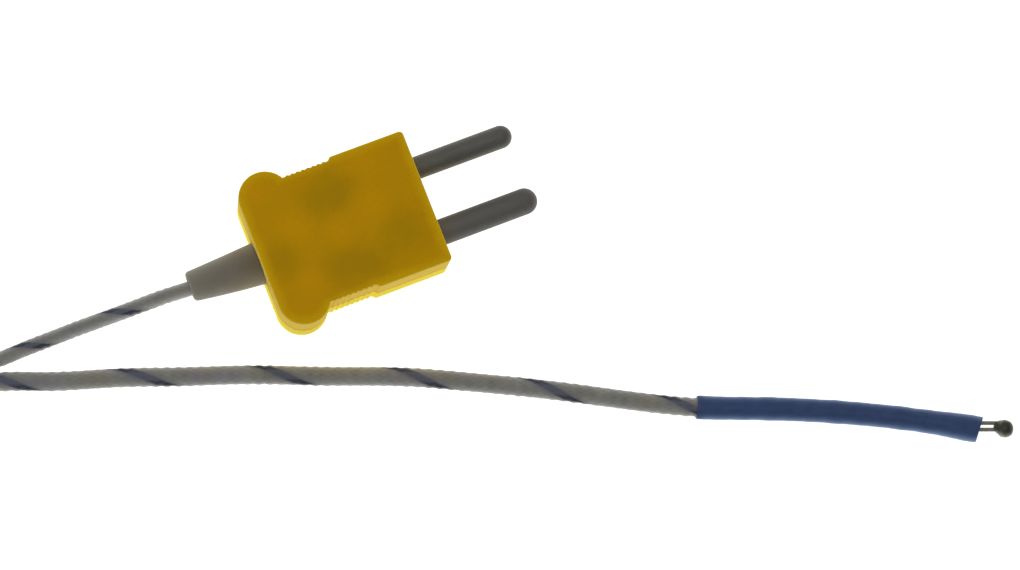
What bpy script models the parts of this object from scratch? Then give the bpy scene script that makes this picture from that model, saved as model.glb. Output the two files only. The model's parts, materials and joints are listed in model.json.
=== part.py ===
"""Thermocouple probe with a two-pin plug, a braided cable and a welded tip.

Metres, +Z up. The plug lies along X with its pins towards +X, the thinner positive pin on the
+Y side and its underside on z = 0. The cable leaves the boot towards -X, sinks to the table,
is wound into a coil with a tie, and comes back past the plug to the sleeve and the tip.
"""
from math import asin, cos, pi, radians, sin

import bmesh
import bpy
import numpy as np
from mathutils import Vector

MM = 0.001

# Clearances between pieces
SEAT_GAP = 0.3 * MM
FIT_GAP = 0.2 * MM
FINE_GAP = 0.12 * MM

# Plug shells
BODY_LENGTH = 28.2 * MM
BODY_THICKNESS = 12.7 * MM
FRONT_WIDTH = 22.15 * MM
FRONT_CORNER_RADIUS = 0.7 * MM
SHOULDER_DISTANCE = 12.1 * MM
SHOULDER_RUN = 0.75 * MM
WAIST_WIDTH = 21.1 * MM
TOOTH_PITCH = 0.875 * MM
TOOTH_HEIGHT = 0.2 * MM
EAR_SPAN = 25.4 * MM
EAR_RADIUS = 4.2 * MM
TOP_EDGE_RADIUS = 0.35 * MM
BOTTOM_EDGE_RADIUS = 0.7 * MM

# Inside the shells, from the front face back, then from the rear face forward
FRONT_WALL = 1.8 * MM
COLLAR_RIB = 1.2 * MM
REAR_WALL = 1.6 * MM
CABLE_RIB = 1.9 * MM
FACE_WALL = 1.6 * MM
WASHER_ROOM = 0.5 * MM
CENTRE_WALL = 3.8 * MM
POCKET_SPARE = 2.4 * MM
CHAMBER_WIDTH = 9.8 * MM

# Pins, with the terminal block on the inner end of each
PIN_PITCH = 11.1 * MM
PIN_LENGTH = 17.1 * MM
POSITIVE_PIN_DIAMETER = 3.7 * MM
NEGATIVE_PIN_DIAMETER = 4.25 * MM
COLLAR_HEIGHT = 0.7 * MM
COLLAR_LENGTH = 1.4 * MM
BLOCK_LENGTH = 6.0 * MM
BLOCK_WIDTH = 5.4 * MM
BLOCK_HEIGHT = 3.3 * MM
BLOCK_EDGE = 0.3 * MM

# Terminal screws and washers
TERMINAL_SHANK_DIAMETER = 2.0 * MM
TERMINAL_SHANK_LENGTH = 2.6 * MM
TERMINAL_HEAD_DIAMETER = 4.0 * MM
TERMINAL_HEAD_HEIGHT = 1.4 * MM
TERMINAL_SLOT_WIDTH = 0.6 * MM
TERMINAL_SLOT_DEPTH = 0.7 * MM
WASHER_DIAMETER = 4.8 * MM
WASHER_THICKNESS = 0.5 * MM

# Screws that close the shells, one through each ear from below
SHELL_SHANK_DIAMETER = 2.2 * MM
SHELL_SHANK_LENGTH = 8.4 * MM
SHELL_HEAD_DIAMETER = 4.0 * MM
SHELL_HEAD_HEIGHT = 1.4 * MM
SHELL_HEAD_DEPTH = 1.8 * MM
CROSS_LENGTH = 2.2 * MM
CROSS_WIDTH = 0.5 * MM
CROSS_DEPTH = 0.8 * MM

# Boot
BOOT_LENGTH = 11.5 * MM
BOOT_PLUG_DIAMETER = 6.9 * MM
BOOT_MOUTH_DIAMETER = 4.95 * MM
BOOT_FLANGE_DIAMETER = 9.0 * MM
BOOT_FLANGE_LENGTH = 1.3 * MM
BOOT_RIM = 0.6 * MM

# Cable: an oval braid, laid out here as a round tube of its mean diameter
CABLE_WIDTH = 2.95 * MM
CABLE_HEIGHT = 2.3 * MM
CABLE_DIAMETER = 2.6 * MM
CORE_DIAMETER = 1.0 * MM
CONDUCTOR_DIAMETER = 0.5 * MM
CORE_SPACING = 1.3 * MM
TUBE_SPACING = 5.4 * MM
FINE_SPACING = 1.6 * MM
INNER_CABLE_REACH = 0.6 * MM

# Coil of the length outside the photograph, and its tie
COIL_CENTRE = (-92.08 * MM, 10.17 * MM)
COIL_OUTER_TURN_RADIUS = 22.8 * MM
COIL_TURNS_PER_LAYER = 3.375
COIL_LAYERS = 2
COIL_LIFT = 1.0 * MM
COIL_EDGE_RADIUS = 1.2 * MM
TIE_THICKNESS = 0.7 * MM
TIE_WIDTH = 2.5 * MM
TIE_DIRECTION = radians(159.84)
TIE_HEAD_SIZE = 4.2 * MM
TIE_HEAD_HEIGHT = 2.4 * MM
TIE_TAIL_LENGTH = 6.0 * MM

# Sleeve, legs and welded bead at the tip
SLEEVE_LENGTH = 46.3 * MM
SLEEVE_DIAMETER = 3.76 * MM
SLEEVE_WALL = 0.3 * MM
SLEEVE_FLARE = 1.12
SLEEVE_FLARE_LENGTH = 8.0 * MM
SLEEVE_CUT_ANGLE = radians(6.0)
CABLE_IN_SLEEVE = 32.0 * MM
TIP_CORE_SPACING = 1.2 * MM
TIP_CORE_SPREAD = 5.0 * MM
TIP_WIRE_DIAMETER = 0.66 * MM
TIP_WIRE_SPACING = 1.03 * MM
TIP_WIRE_START = (84.28 * MM, -64.91 * MM, 2.12 * MM)
TIP_WIRE_END = (88.73 * MM, -66.6 * MM, 2.05 * MM)
BEAD_DIAMETER = 2.95 * MM
BEAD_CENTRE = (89.34 * MM, -67.23 * MM, 2.0 * MM)

# Route of the cable in millimetres, chosen by hand: plug to coil, then coil to tip
PLUG_ROUTE = [
    (-25.9, 0.08, 6.35), (-29.0, 0.26, 6.27), (-33.42, 0.36, 5.85), (-38.31, 0.47, 5.0),
    (-43.67, 0.7, 3.75), (-49.02, 0.82, 2.5), (-53.42, 0.83, 1.8), (-57.13, 0.75, 1.45),
    (-60.23, 1.21, 1.4), (-62.9, 2.83, 1.4), (-64.73, 5.36, 1.4), (-66.94, 10.16, 1.55),
    (-69.15, 14.9, 1.85), (-71.39, 19.75, 2.25),
]
PROBE_ROUTE = [
    (-82.51, -10.52, 4.6), (-76.99, -7.93, 4.2), (-71.48, -5.38, 3.2), (-66.05, -2.88, 2.1),
    (-62.27, -1.96, 1.6), (-58.42, -2.59, 1.4), (-50.83, -5.41, 1.4), (-41.52, -8.39, 1.4),
    (-32.25, -11.7, 1.4), (-21.07, -15.63, 1.4), (-10.04, -20.08, 1.4), (1.09, -24.44, 1.4),
    (11.97, -29.58, 1.4), (22.79, -35.03, 1.4), (33.51, -40.84, 1.5), (43.77, -46.07, 1.85),
    (53.13, -49.88, 1.9), (62.12, -53.72, 1.9), (71.01, -57.96, 1.9), (79.74, -62.65, 2.05),
    (85.27, -65.87, 2.12),
]

# Fineness of round shapes
ARC_STEPS = 4
EAR_STEPS = 12
ROUND_STEPS = 24
SMALL_ROUND_STEPS = 16
DOME_STEPS = 6
COIL_STEPS = 48
SLEEVE_BEVEL_RESOLUTION = 6
CABLE_BEVEL_RESOLUTION = 2
ROUTE_SAMPLE = 0.25 * MM
WELD_DISTANCE = 0.001 * MM
OVERSHOOT = 1.0 * MM

MID_HEIGHT = BODY_THICKNESS / 2
FRONT_X = BODY_LENGTH / 2
REAR_X = -BODY_LENGTH / 2
SCREW_DEPTH = FRONT_WALL + COLLAR_LENGTH + 2 * FIT_GAP + COLLAR_RIB + FIT_GAP + BLOCK_LENGTH / 2
HEAD_UP = (0.0, -pi / 2, 0.0)
HEAD_DOWN = (0.0, pi / 2, 0.0)


def new_material(name, colour, roughness, metallic=0.0):
    """A Principled BSDF material with one colour."""
    material = bpy.data.materials.new(name)
    material.use_nodes = True
    shader = material.node_tree.nodes["Principled BSDF"]
    shader.inputs["Base Color"].default_value = (*colour, 1.0)
    shader.inputs["Roughness"].default_value = roughness
    shader.inputs["Metallic"].default_value = metallic
    return material


def add_object(name, data, place=(0.0, 0.0, 0.0), turn=(0.0, 0.0, 0.0), parent=None, material=None):
    """Link a mesh or curve to the scene under its node's name."""
    thing = bpy.data.objects.new(name, data)
    thing.location = place
    thing.rotation_euler = turn
    thing.parent = parent
    if material is not None:
        data.materials.append(material)
    bpy.context.collection.objects.link(thing)
    return thing


def mesh_from(shape, name, smooth=False):
    """Turn a bmesh into a mesh, shaded smooth between its sharp edges if asked."""
    bmesh.ops.remove_doubles(shape, verts=shape.verts, dist=WELD_DISTANCE)
    bmesh.ops.recalc_face_normals(shape, faces=shape.faces)
    mesh = bpy.data.meshes.new(name)
    shape.to_mesh(mesh)
    shape.free()
    if smooth:
        mesh.shade_smooth()
        mesh.set_sharp_from_angle(angle=radians(35.0))
    return mesh


def block(low, high):
    """A box between two corners."""
    low, high = Vector(low), Vector(high)
    shape = bmesh.new()
    bmesh.ops.create_cube(shape, size=1.0)
    size, middle = high - low, (high + low) / 2
    for vert in shape.verts:
        vert.co = Vector(c * s for c, s in zip(vert.co, size)) + middle
    return shape


def lathe(profile, steps, closed=False):
    """Turn (along X, radius) points about the X axis; a closed profile leaves a bore."""
    shape = bmesh.new()
    verts = [shape.verts.new((along, 0.0, radius)) for along, radius in profile]
    following = verts[1:] + verts[:1] if closed else verts[1:]
    edges = [shape.edges.new(pair) for pair in zip(verts, following)]
    bmesh.ops.spin(shape, geom=verts + edges, cent=(0, 0, 0), axis=(1, 0, 0), angle=2 * pi,
                   steps=steps, use_merge=True)
    return shape


def cylinder(start, end, radius, steps=ROUND_STEPS):
    """A plain cylinder along X from start to end."""
    return lathe([(start, 0.0), (start, radius), (end, radius), (end, 0.0)], steps)


def loft(levels):
    """Join a rising stack of outlines, each (z, points) with as many points, into one body."""
    shape = bmesh.new()
    loops = [[shape.verts.new((x, y, z)) for x, y in points] for z, points in levels]
    for low, high in zip(loops, loops[1:]):
        for k, vert in enumerate(low):
            after = (k + 1) % len(low)
            shape.faces.new((vert, low[after], high[after], high[k]))
    shape.faces.new(reversed(loops[0]))
    shape.faces.new(loops[-1])
    return shape


def add_cutter(name, shape, place=(0.0, 0.0, 0.0), turn=(0.0, 0.0, 0.0), parent=None):
    """A hidden guide that Boolean modifiers cut with."""
    cutter = add_object(name, mesh_from(shape, name), place, turn, parent)
    cutter.hide_render = True
    cutter.display_type = "WIRE"
    return cutter


def combine(target, others, operation="DIFFERENCE"):
    """Cut the other objects out of the target, or join them to it, with live modifiers."""
    for other in others:
        step = target.modifiers.new(other.name, "BOOLEAN")
        step.operation = operation
        step.solver = "EXACT"
        step.object = other


def curve_through(points):
    """Close, even samples of the cubic curve that bends evenly through the points."""
    knots = np.array(points, dtype=float)
    count = len(knots)
    at = np.concatenate([[0.0], np.cumsum(np.linalg.norm(np.diff(knots, axis=0), axis=1))])
    gaps = np.diff(at)
    system = np.eye(count)
    target = np.zeros_like(knots)
    for k in range(1, count - 1):
        system[k, k - 1:k + 2] = gaps[k - 1], 2 * (gaps[k - 1] + gaps[k]), gaps[k]
        slopes = (knots[k + 1] - knots[k]) / gaps[k] - (knots[k] - knots[k - 1]) / gaps[k - 1]
        target[k] = 6 * slopes
    bend = np.linalg.solve(system, target)
    where = np.linspace(0.0, at[-1], max(int(at[-1] / ROUTE_SAMPLE), 8) + 1)
    piece = np.clip(np.searchsorted(at, where, side="right") - 1, 0, count - 2)
    gap = gaps[piece][:, None]
    after = where[:, None] - at[piece][:, None]
    before = gap - after
    return ((bend[piece] * before ** 3 + bend[piece + 1] * after ** 3) / (6 * gap)
            + (knots[piece] / gap - bend[piece] * gap / 6) * before
            + (knots[piece + 1] / gap - bend[piece + 1] * gap / 6) * after)


def lengths_along(curve):
    """Distance along the curve at each of its samples."""
    return np.concatenate([[0.0], np.cumsum(np.linalg.norm(np.diff(curve, axis=0), axis=1))])


def stretch(curve, start, end, spacing):
    """Evenly spaced points of the curve between two distances along it."""
    along = lengths_along(curve)
    count = max(int(round((end - start) / spacing)), 1) + 1
    where = np.linspace(start, end, count)
    return np.column_stack([np.interp(where, along, curve[:, k]) for k in range(3)])


def beside(points, offset):
    """The points moved sideways, level with the table, by the offset."""
    run = np.gradient(points, axis=0)
    side = np.column_stack([-run[:, 1], run[:, 0], np.zeros(len(points))])
    side /= np.linalg.norm(side, axis=1)[:, None]
    return points + side * offset


def add_tube(name, points, diameter, material, resolution=CABLE_BEVEL_RESOLUTION, capped=True,
             swell=None):
    """A round bevel along straight segments between the points."""
    curve = bpy.data.curves.new(name, "CURVE")
    curve.dimensions = "3D"
    curve.bevel_depth = diameter / 2
    curve.bevel_resolution = resolution
    curve.use_fill_caps = capped
    spline = curve.splines.new("POLY")
    spline.points.add(len(points) - 1)
    for k, point in enumerate(points):
        spline.points[k].co = (*point, 1.0)
        spline.points[k].radius = 1.0 if swell is None else swell[k]
    return add_object(name, curve, material=material)


def quarter_round(centre, radius, start, steps=ARC_STEPS):
    """Points of a quarter circle in the plane, anticlockwise from the start angle."""
    angles = [start + pi / 2 * k / steps for k in range(steps + 1)]
    return [(centre[0] + radius * cos(a), centre[1] + radius * sin(a)) for a in angles]


def shell_outline(inset):
    """Plan view of the plug drawn in by the inset, anticlockwise from the front +Y corner."""
    corner = max(FRONT_CORNER_RADIUS - inset, TOP_EDGE_RADIUS / 2)
    centre = (FRONT_X - inset - corner, FRONT_WIDTH / 2 - inset - corner)
    half = quarter_round(centre, corner, 0.0)
    shoulder = FRONT_X - SHOULDER_DISTANCE
    waist = WAIST_WIDTH / 2 - inset
    half.append((shoulder, FRONT_WIDTH / 2 - inset))
    half.append((shoulder - SHOULDER_RUN, waist))
    ear_x, ear_y = REAR_X + EAR_RADIUS, EAR_SPAN / 2 - EAR_RADIUS
    meeting = asin((WAIST_WIDTH / 2 - ear_y) / EAR_RADIUS)
    waist_length = shoulder - SHOULDER_RUN - ear_x - EAR_RADIUS * cos(meeting)
    for k in range(int(waist_length / TOOTH_PITCH - 0.3)):
        tooth_x = shoulder - SHOULDER_RUN - (k + 0.3) * TOOTH_PITCH
        half.append((tooth_x, waist))
        half.append((tooth_x - 0.2 * TOOTH_PITCH, waist + TOOTH_HEIGHT))
        half.append((tooth_x - 0.45 * TOOTH_PITCH, waist + TOOTH_HEIGHT))
        half.append((tooth_x - 0.65 * TOOTH_PITCH, waist))
    radius = EAR_RADIUS - inset
    first = asin((waist - ear_y) / radius)
    for k in range(EAR_STEPS + 1):
        angle = first + (pi - first) * k / EAR_STEPS
        half.append((ear_x + radius * cos(angle), ear_y + radius * sin(angle)))
    return half + [(x, -y) for x, y in reversed(half)]


def edge_levels(face, radius, inwards):
    """Levels of a rounded rim, from the flat face at that height towards the parting plane."""
    angles = [pi / 2 * k / ARC_STEPS for k in range(ARC_STEPS + 1)]
    return [(face + inwards * radius * (1 - cos(a)), shell_outline(radius * (1 - sin(a))))
            for a in angles]


def terminal_height():
    """Height above the pins' axes of the terminal screws' bearing faces."""
    return BLOCK_HEIGHT / 2 + CONDUCTOR_DIAMETER + WASHER_THICKNESS + 3 * FINE_GAP


def add_cavity_cutters(parent):
    """Everything that is hollowed out of both shells, as one list of cutters."""
    cutters = []
    pocket_front = FRONT_X - FRONT_WALL - COLLAR_LENGTH - 2 * FIT_GAP - COLLAR_RIB
    pocket_back = pocket_front - BLOCK_LENGTH - POCKET_SPARE
    depth = MID_HEIGHT - FACE_WALL
    chamber_back = REAR_X + REAR_WALL + BOOT_FLANGE_LENGTH + 2 * FIT_GAP + CABLE_RIB
    for side, diameter in ((1, POSITIVE_PIN_DIAMETER), (-1, NEGATIVE_PIN_DIAMETER)):
        label = "positive" if side > 0 else "negative"
        place = (FRONT_X, side * PIN_PITCH / 2, 0.0)
        bore = cylinder(pocket_front - FRONT_X - OVERSHOOT, OVERSHOOT, diameter / 2 + FIT_GAP)
        collar_end = -FRONT_WALL - COLLAR_LENGTH - 2 * FIT_GAP
        collar_radius = diameter / 2 + COLLAR_HEIGHT + FIT_GAP
        collar = cylinder(collar_end, -FRONT_WALL, collar_radius)
        cutters.append(add_cutter(f"cut_bore_{label}", bore, place, parent=parent))
        cutters.append(add_cutter(f"cut_collar_{label}", collar, place, parent=parent))
        inner = side * CENTRE_WALL / 2
        outer = side * (PIN_PITCH / 2 + WASHER_DIAMETER / 2 + WASHER_ROOM)
        low = (pocket_back, min(inner, outer), -depth)
        high = (pocket_front, max(inner, outer), depth)
        cutters.append(add_cutter(f"cut_pocket_{label}", block(low, high), parent=parent))
    low = (chamber_back, -CHAMBER_WIDTH / 2, -depth)
    high = (pocket_back + OVERSHOOT / 2, CHAMBER_WIDTH / 2, depth)
    cutters.append(add_cutter("cut_chamber", block(low, high), parent=parent))
    place = (REAR_X, 0.0, 0.0)
    neck = cylinder(-OVERSHOOT, REAR_WALL + OVERSHOOT / 2, BOOT_PLUG_DIAMETER / 2 + FIT_GAP)
    groove_end = REAR_WALL + BOOT_FLANGE_LENGTH + 2 * FIT_GAP
    groove = cylinder(REAR_WALL, groove_end, BOOT_FLANGE_DIAMETER / 2 + FIT_GAP)
    cable = cylinder(REAR_WALL, chamber_back - REAR_X + OVERSHOOT, CABLE_DIAMETER / 2 + SEAT_GAP)
    cutters.append(add_cutter("cut_boot_neck", neck, place, parent=parent))
    cutters.append(add_cutter("cut_boot_groove", groove, place, parent=parent))
    cutters.append(add_cutter("cut_cable_rib", cable, place, parent=parent))
    return cutters


def ear_centres():
    """Plan positions of the two shell screws, with their names."""
    x, y = REAR_X + EAR_RADIUS, EAR_SPAN / 2 - EAR_RADIUS
    return (("left", x, y), ("right", x, -y))


def add_shells(parent, plastic):
    """The two half shells with their shared cavity and screw holes."""
    half_gap = SEAT_GAP / 2
    levels = edge_levels(-MID_HEIGHT, BOTTOM_EDGE_RADIUS, 1)
    levels.append((-half_gap, shell_outline(0.0)))
    base = add_object("plug_base", mesh_from(loft(levels), "plug_base", True), parent=parent,
                      material=plastic)
    levels = edge_levels(MID_HEIGHT, TOP_EDGE_RADIUS, -1)
    levels.append((half_gap, shell_outline(0.0)))
    cap = add_object("plug_cap", mesh_from(loft(levels[::-1]), "plug_cap", True), parent=parent,
                     material=plastic)
    cavity = add_cavity_cutters(parent)
    for name, x, y in ear_centres():
        bearing = SHELL_HEAD_DEPTH + FINE_GAP
        place = (x, y, -MID_HEIGHT)
        shank = cylinder(-OVERSHOOT, bearing + SHELL_SHANK_LENGTH + SEAT_GAP,
                         SHELL_SHANK_DIAMETER / 2 + FINE_GAP, SMALL_ROUND_STEPS)
        seat = cylinder(-OVERSHOOT, bearing, SHELL_HEAD_DIAMETER / 2 + FIT_GAP)
        cavity.append(add_cutter(f"cut_shank_{name}", shank, place, HEAD_UP, parent))
        combine(base, [add_cutter(f"cut_head_{name}", seat, place, HEAD_UP, parent)])
    combine(base, cavity)
    combine(cap, cavity)


def screw_profile(shank_radius, shank_length, head_radius, head_height):
    """Half section of a pan-head screw, bearing face at 0 and head towards +X."""
    tip = 0.3 * shank_radius
    crown = [(head_height * (0.45 + 0.55 * sin(a)), head_radius * (0.72 + 0.28 * cos(a)))
             for a in (pi / 2 * k / ARC_STEPS for k in range(ARC_STEPS + 1))]
    return [(-shank_length, 0.0), (-shank_length, shank_radius - tip),
            (-shank_length + tip, shank_radius), (0.0, shank_radius), (0.0, head_radius),
            *crown, (head_height, 0.0)]


def add_shell_screws(parent, steel):
    """Cross-recess screws that hold the cap to the base, heads sunk in the underside."""
    for name, x, y in ear_centres():
        place = (x, y, SHELL_HEAD_DEPTH - MID_HEIGHT)
        profile = screw_profile(SHELL_SHANK_DIAMETER / 2, SHELL_SHANK_LENGTH,
                                SHELL_HEAD_DIAMETER / 2, SHELL_HEAD_HEIGHT)
        title = f"shell_screw_{name}"
        screw = add_object(title, mesh_from(lathe(profile, SMALL_ROUND_STEPS), title, True),
                           place, HEAD_DOWN, parent, steel)
        reach, half = CROSS_LENGTH / 2, CROSS_WIDTH / 2
        floor, top = SHELL_HEAD_HEIGHT - CROSS_DEPTH, SHELL_HEAD_HEIGHT + OVERSHOOT
        first = block((floor, -reach, -half), (top, reach, half))
        second = block((floor, -half, -reach), (top, half, reach))
        combine(screw, [add_cutter(f"cut_cross_a_{name}", first, place, HEAD_DOWN, parent),
                        add_cutter(f"cut_cross_b_{name}", second, place, HEAD_DOWN, parent)])


def pin_profile(radius):
    """Half section of a pin from its inner end to its domed tip, front face of the plug at 0."""
    collar_front = -FRONT_WALL - FIT_GAP
    collar_back = collar_front - COLLAR_LENGTH
    inner = -SCREW_DEPTH + BLOCK_LENGTH / 2 - 2 * BLOCK_EDGE
    dome = [(PIN_LENGTH - radius + radius * sin(a), radius * cos(a))
            for a in (pi / 2 * k / DOME_STEPS for k in range(DOME_STEPS))]
    return [(inner, 0.0), (inner, radius), (collar_back, radius),
            (collar_back, radius + COLLAR_HEIGHT), (collar_front, radius + COLLAR_HEIGHT),
            (collar_front, radius), *dome, (PIN_LENGTH, 0.0)]


def add_pins(parent, metals):
    """Both pins, each joined to a terminal block with a hole for its screw."""
    diameters = (POSITIVE_PIN_DIAMETER, NEGATIVE_PIN_DIAMETER)
    for (label, metal), diameter, side in zip(metals.items(), diameters, (1, -1)):
        place = (FRONT_X, side * PIN_PITCH / 2, 0.0)
        shape = lathe(pin_profile(diameter / 2), ROUND_STEPS)
        title = f"pin_{label}"
        pin = add_object(title, mesh_from(shape, title, True), place, parent=parent,
                         material=metal)
        front, back = -SCREW_DEPTH + BLOCK_LENGTH / 2, -SCREW_DEPTH - BLOCK_LENGTH / 2
        terminal = block((back, -BLOCK_WIDTH / 2, -BLOCK_HEIGHT / 2),
                         (front, BLOCK_WIDTH / 2, BLOCK_HEIGHT / 2))
        bmesh.ops.bevel(terminal, geom=terminal.edges[:], offset=BLOCK_EDGE, segments=1,
                        affect="EDGES")
        combine(pin, [add_cutter(f"join_block_{label}", terminal, place, parent=parent)],
                "UNION")
        hole = cylinder(-BLOCK_HEIGHT, BLOCK_HEIGHT, TERMINAL_SHANK_DIAMETER / 2 + FINE_GAP,
                        SMALL_ROUND_STEPS)
        place = (FRONT_X - SCREW_DEPTH, side * PIN_PITCH / 2, 0.0)
        combine(pin, [add_cutter(f"cut_hole_{label}", hole, place, HEAD_UP, parent)])


def add_terminals(parent, steel):
    """A slotted screw and a washer on each terminal block."""
    for label, side in (("positive", 1), ("negative", -1)):
        x, y = FRONT_X - SCREW_DEPTH, side * PIN_PITCH / 2
        bearing = terminal_height()
        profile = screw_profile(TERMINAL_SHANK_DIAMETER / 2, TERMINAL_SHANK_LENGTH,
                                TERMINAL_HEAD_DIAMETER / 2, TERMINAL_HEAD_HEIGHT)
        title = f"terminal_screw_{label}"
        screw = add_object(title, mesh_from(lathe(profile, SMALL_ROUND_STEPS), title, True),
                           (x, y, bearing), HEAD_UP, parent, steel)
        reach, half = TERMINAL_HEAD_DIAMETER, TERMINAL_SLOT_WIDTH / 2
        slot = block((TERMINAL_HEAD_HEIGHT - TERMINAL_SLOT_DEPTH, -reach, -half),
                     (TERMINAL_HEAD_HEIGHT + OVERSHOOT, reach, half))
        combine(screw, [add_cutter(f"cut_slot_{label}", slot, (x, y, bearing), HEAD_UP, parent)])
        hole = TERMINAL_SHANK_DIAMETER / 2 + FINE_GAP
        rim = WASHER_DIAMETER / 2
        ring = [(0.0, hole), (0.0, rim), (WASHER_THICKNESS, rim), (WASHER_THICKNESS, hole)]
        title = f"terminal_washer_{label}"
        add_object(title, mesh_from(lathe(ring, SMALL_ROUND_STEPS, closed=True), title, True),
                   (x, y, bearing - FINE_GAP - WASHER_THICKNESS), HEAD_UP, parent, steel)


def add_boot(parent, rubber):
    """Tapered strain relief, held in the shells by its flange."""
    bore = CABLE_DIAMETER / 2 + FIT_GAP
    neck, mouth, flange = BOOT_PLUG_DIAMETER / 2, BOOT_MOUTH_DIAMETER / 2, BOOT_FLANGE_DIAMETER / 2
    flange_back = -REAR_WALL - FIT_GAP
    inner = flange_back - BOOT_FLANGE_LENGTH
    rim = quarter_round((BOOT_LENGTH - BOOT_RIM, mouth - BOOT_RIM), BOOT_RIM, 0.0)
    profile = [(inner, bore), (inner, flange), (flange_back, flange), (flange_back, neck),
               (0.0, neck), *reversed(rim), (BOOT_LENGTH, bore)]
    mesh = mesh_from(lathe(profile, ROUND_STEPS, closed=True), "boot", True)
    add_object("boot", mesh, (REAR_X, 0.0, 0.0), (0.0, 0.0, pi), parent, rubber)


def add_plug_wiring(braid, insulation, metals):
    """The cable's end in the boot, its two legs, and their bare ends round the screws."""
    chamber = REAR_X + REAR_WALL + BOOT_FLANGE_LENGTH + 2 * FIT_GAP + CABLE_RIB
    jacket_end = chamber + INNER_CABLE_REACH
    tail = curve_through([(REAR_X - BOOT_LENGTH, 0.0, MID_HEIGHT), (jacket_end, 0.0, MID_HEIGHT)])
    tail = stretch(tail, 0.0, lengths_along(tail)[-1], TUBE_SPACING)
    add_tube("cable_in_boot", tail, CABLE_DIAMETER, braid)
    screw_x = FRONT_X - SCREW_DEPTH
    leg_end = screw_x - BLOCK_LENGTH / 2 - SEAT_GAP
    hook = TERMINAL_SHANK_DIAMETER / 2 + FINE_GAP + CONDUCTOR_DIAMETER / 2
    wire_z = MID_HEIGHT + BLOCK_HEIGHT / 2 + FINE_GAP + CONDUCTOR_DIAMETER / 2
    for side, (label, metal) in zip((1, -1), metals.items()):
        leg_y = side * (PIN_PITCH / 2 - hook)
        leg_z = MID_HEIGHT + side * CORE_SPACING / 2
        start = jacket_end + FINE_GAP
        run = leg_end - start
        rise = wire_z - leg_z
        route = [(start + run * a, leg_y * b, leg_z + rise * c)
                 for a, b, c in ((0.0, 0.0, 0.0), (0.18, 0.03, 0.0), (0.45, 0.36, 0.2),
                                 (0.72, 0.84, 0.8), (0.9, 1.0, 1.0), (1.0, 1.0, 1.0))]
        leg = curve_through(route)
        leg = stretch(leg, 0.0, lengths_along(leg)[-1], FINE_SPACING)
        add_tube(f"core_{label}", leg, CORE_DIAMETER, insulation)
        turn = [radians(angle) for angle in range(-90, 91, 30)]
        wire = [(leg_end + FINE_GAP, leg_y, wire_z)]
        wire += [(screw_x + hook * cos(a), side * (PIN_PITCH / 2 + hook * sin(a)), wire_z)
                 for a in turn]
        wire.append((screw_x - hook, side * (PIN_PITCH / 2 + hook), wire_z))
        add_tube(f"conductor_{label}", wire, CONDUCTOR_DIAMETER, metal)


def coil_section():
    """Inner radius, outer radius, bottom and top of the coil's outer shape."""
    outer = COIL_OUTER_TURN_RADIUS + CABLE_WIDTH / 2
    inner = COIL_OUTER_TURN_RADIUS - (COIL_TURNS_PER_LAYER + 0.5) * CABLE_WIDTH
    return inner, outer, COIL_LIFT, COIL_LIFT + COIL_LAYERS * CABLE_HEIGHT + FINE_GAP


def add_coil(braid):
    """The coil as one turned ring of its outer shape."""
    inner, outer, bottom, top = coil_section()
    r = COIL_EDGE_RADIUS
    profile = []
    for (z, radius), start in (((top - r, outer - r), 0.0), ((bottom + r, outer - r), pi / 2),
                               ((bottom + r, inner + r), pi), ((top - r, inner + r), 1.5 * pi)):
        profile += quarter_round((z, radius), r, start, steps=3)
    mesh = mesh_from(lathe(profile, COIL_STEPS, closed=True), "cable_coil", True)
    add_object("cable_coil", mesh, (*COIL_CENTRE, 0.0), HEAD_UP, material=braid)


def add_tie(nylon):
    """A strap round the coil's section, with its head and a short tail on top."""
    inner, outer, bottom, top = coil_section()
    low_z, high_z = bottom - SEAT_GAP, top + SEAT_GAP
    low_r, high_r = inner - SEAT_GAP, outer + SEAT_GAP
    half, wall = TIE_WIDTH / 2, TIE_THICKNESS
    frame = empty_at("coil_tie_axis", (*COIL_CENTRE, 0.0), TIE_DIRECTION)
    shape = block((low_r - wall, -half, low_z - wall), (high_r + wall, half, high_z + wall))
    corners = [edge for edge in shape.edges
               if abs(edge.verts[0].co.y - edge.verts[1].co.y) > half]
    bmesh.ops.bevel(shape, geom=corners, offset=COIL_EDGE_RADIUS, segments=3, profile=0.5,
                    affect="EDGES")
    tie = add_object("coil_tie", mesh_from(shape, "coil_tie", True), parent=frame, material=nylon)
    window = block((low_r, -TIE_WIDTH, low_z), (high_r, TIE_WIDTH, high_z))
    combine(tie, [add_cutter("cut_tie_window", window, parent=frame)])
    middle = (inner + outer) / 2
    size = TIE_HEAD_SIZE / 2
    head = block((middle - size, -size, high_z + wall / 2),
                 (middle + size, size, high_z + wall / 2 + TIE_HEAD_HEIGHT))
    bmesh.ops.bevel(head, geom=head.edges[:], offset=BLOCK_EDGE, segments=1, affect="EDGES")
    tail_z = high_z + wall / 2 + TIE_HEAD_HEIGHT / 2
    tail = block((middle - size - TIE_TAIL_LENGTH, -half, tail_z - wall / 2),
                 (middle, half, tail_z + wall / 2))
    combine(tie, [add_cutter("join_tie_head", head, parent=frame),
                  add_cutter("join_tie_tail", tail, parent=frame)], "UNION")


def outside_coil(curve):
    """Distances along the curve at which a tube there is clear of the coil's ring."""
    away = np.hypot(curve[:, 0] - COIL_CENTRE[0], curve[:, 1] - COIL_CENTRE[1])
    clear = away > coil_section()[1] + CABLE_DIAMETER / 2 + SEAT_GAP
    along = lengths_along(curve)[clear]
    return along[0], along[-1]


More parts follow.
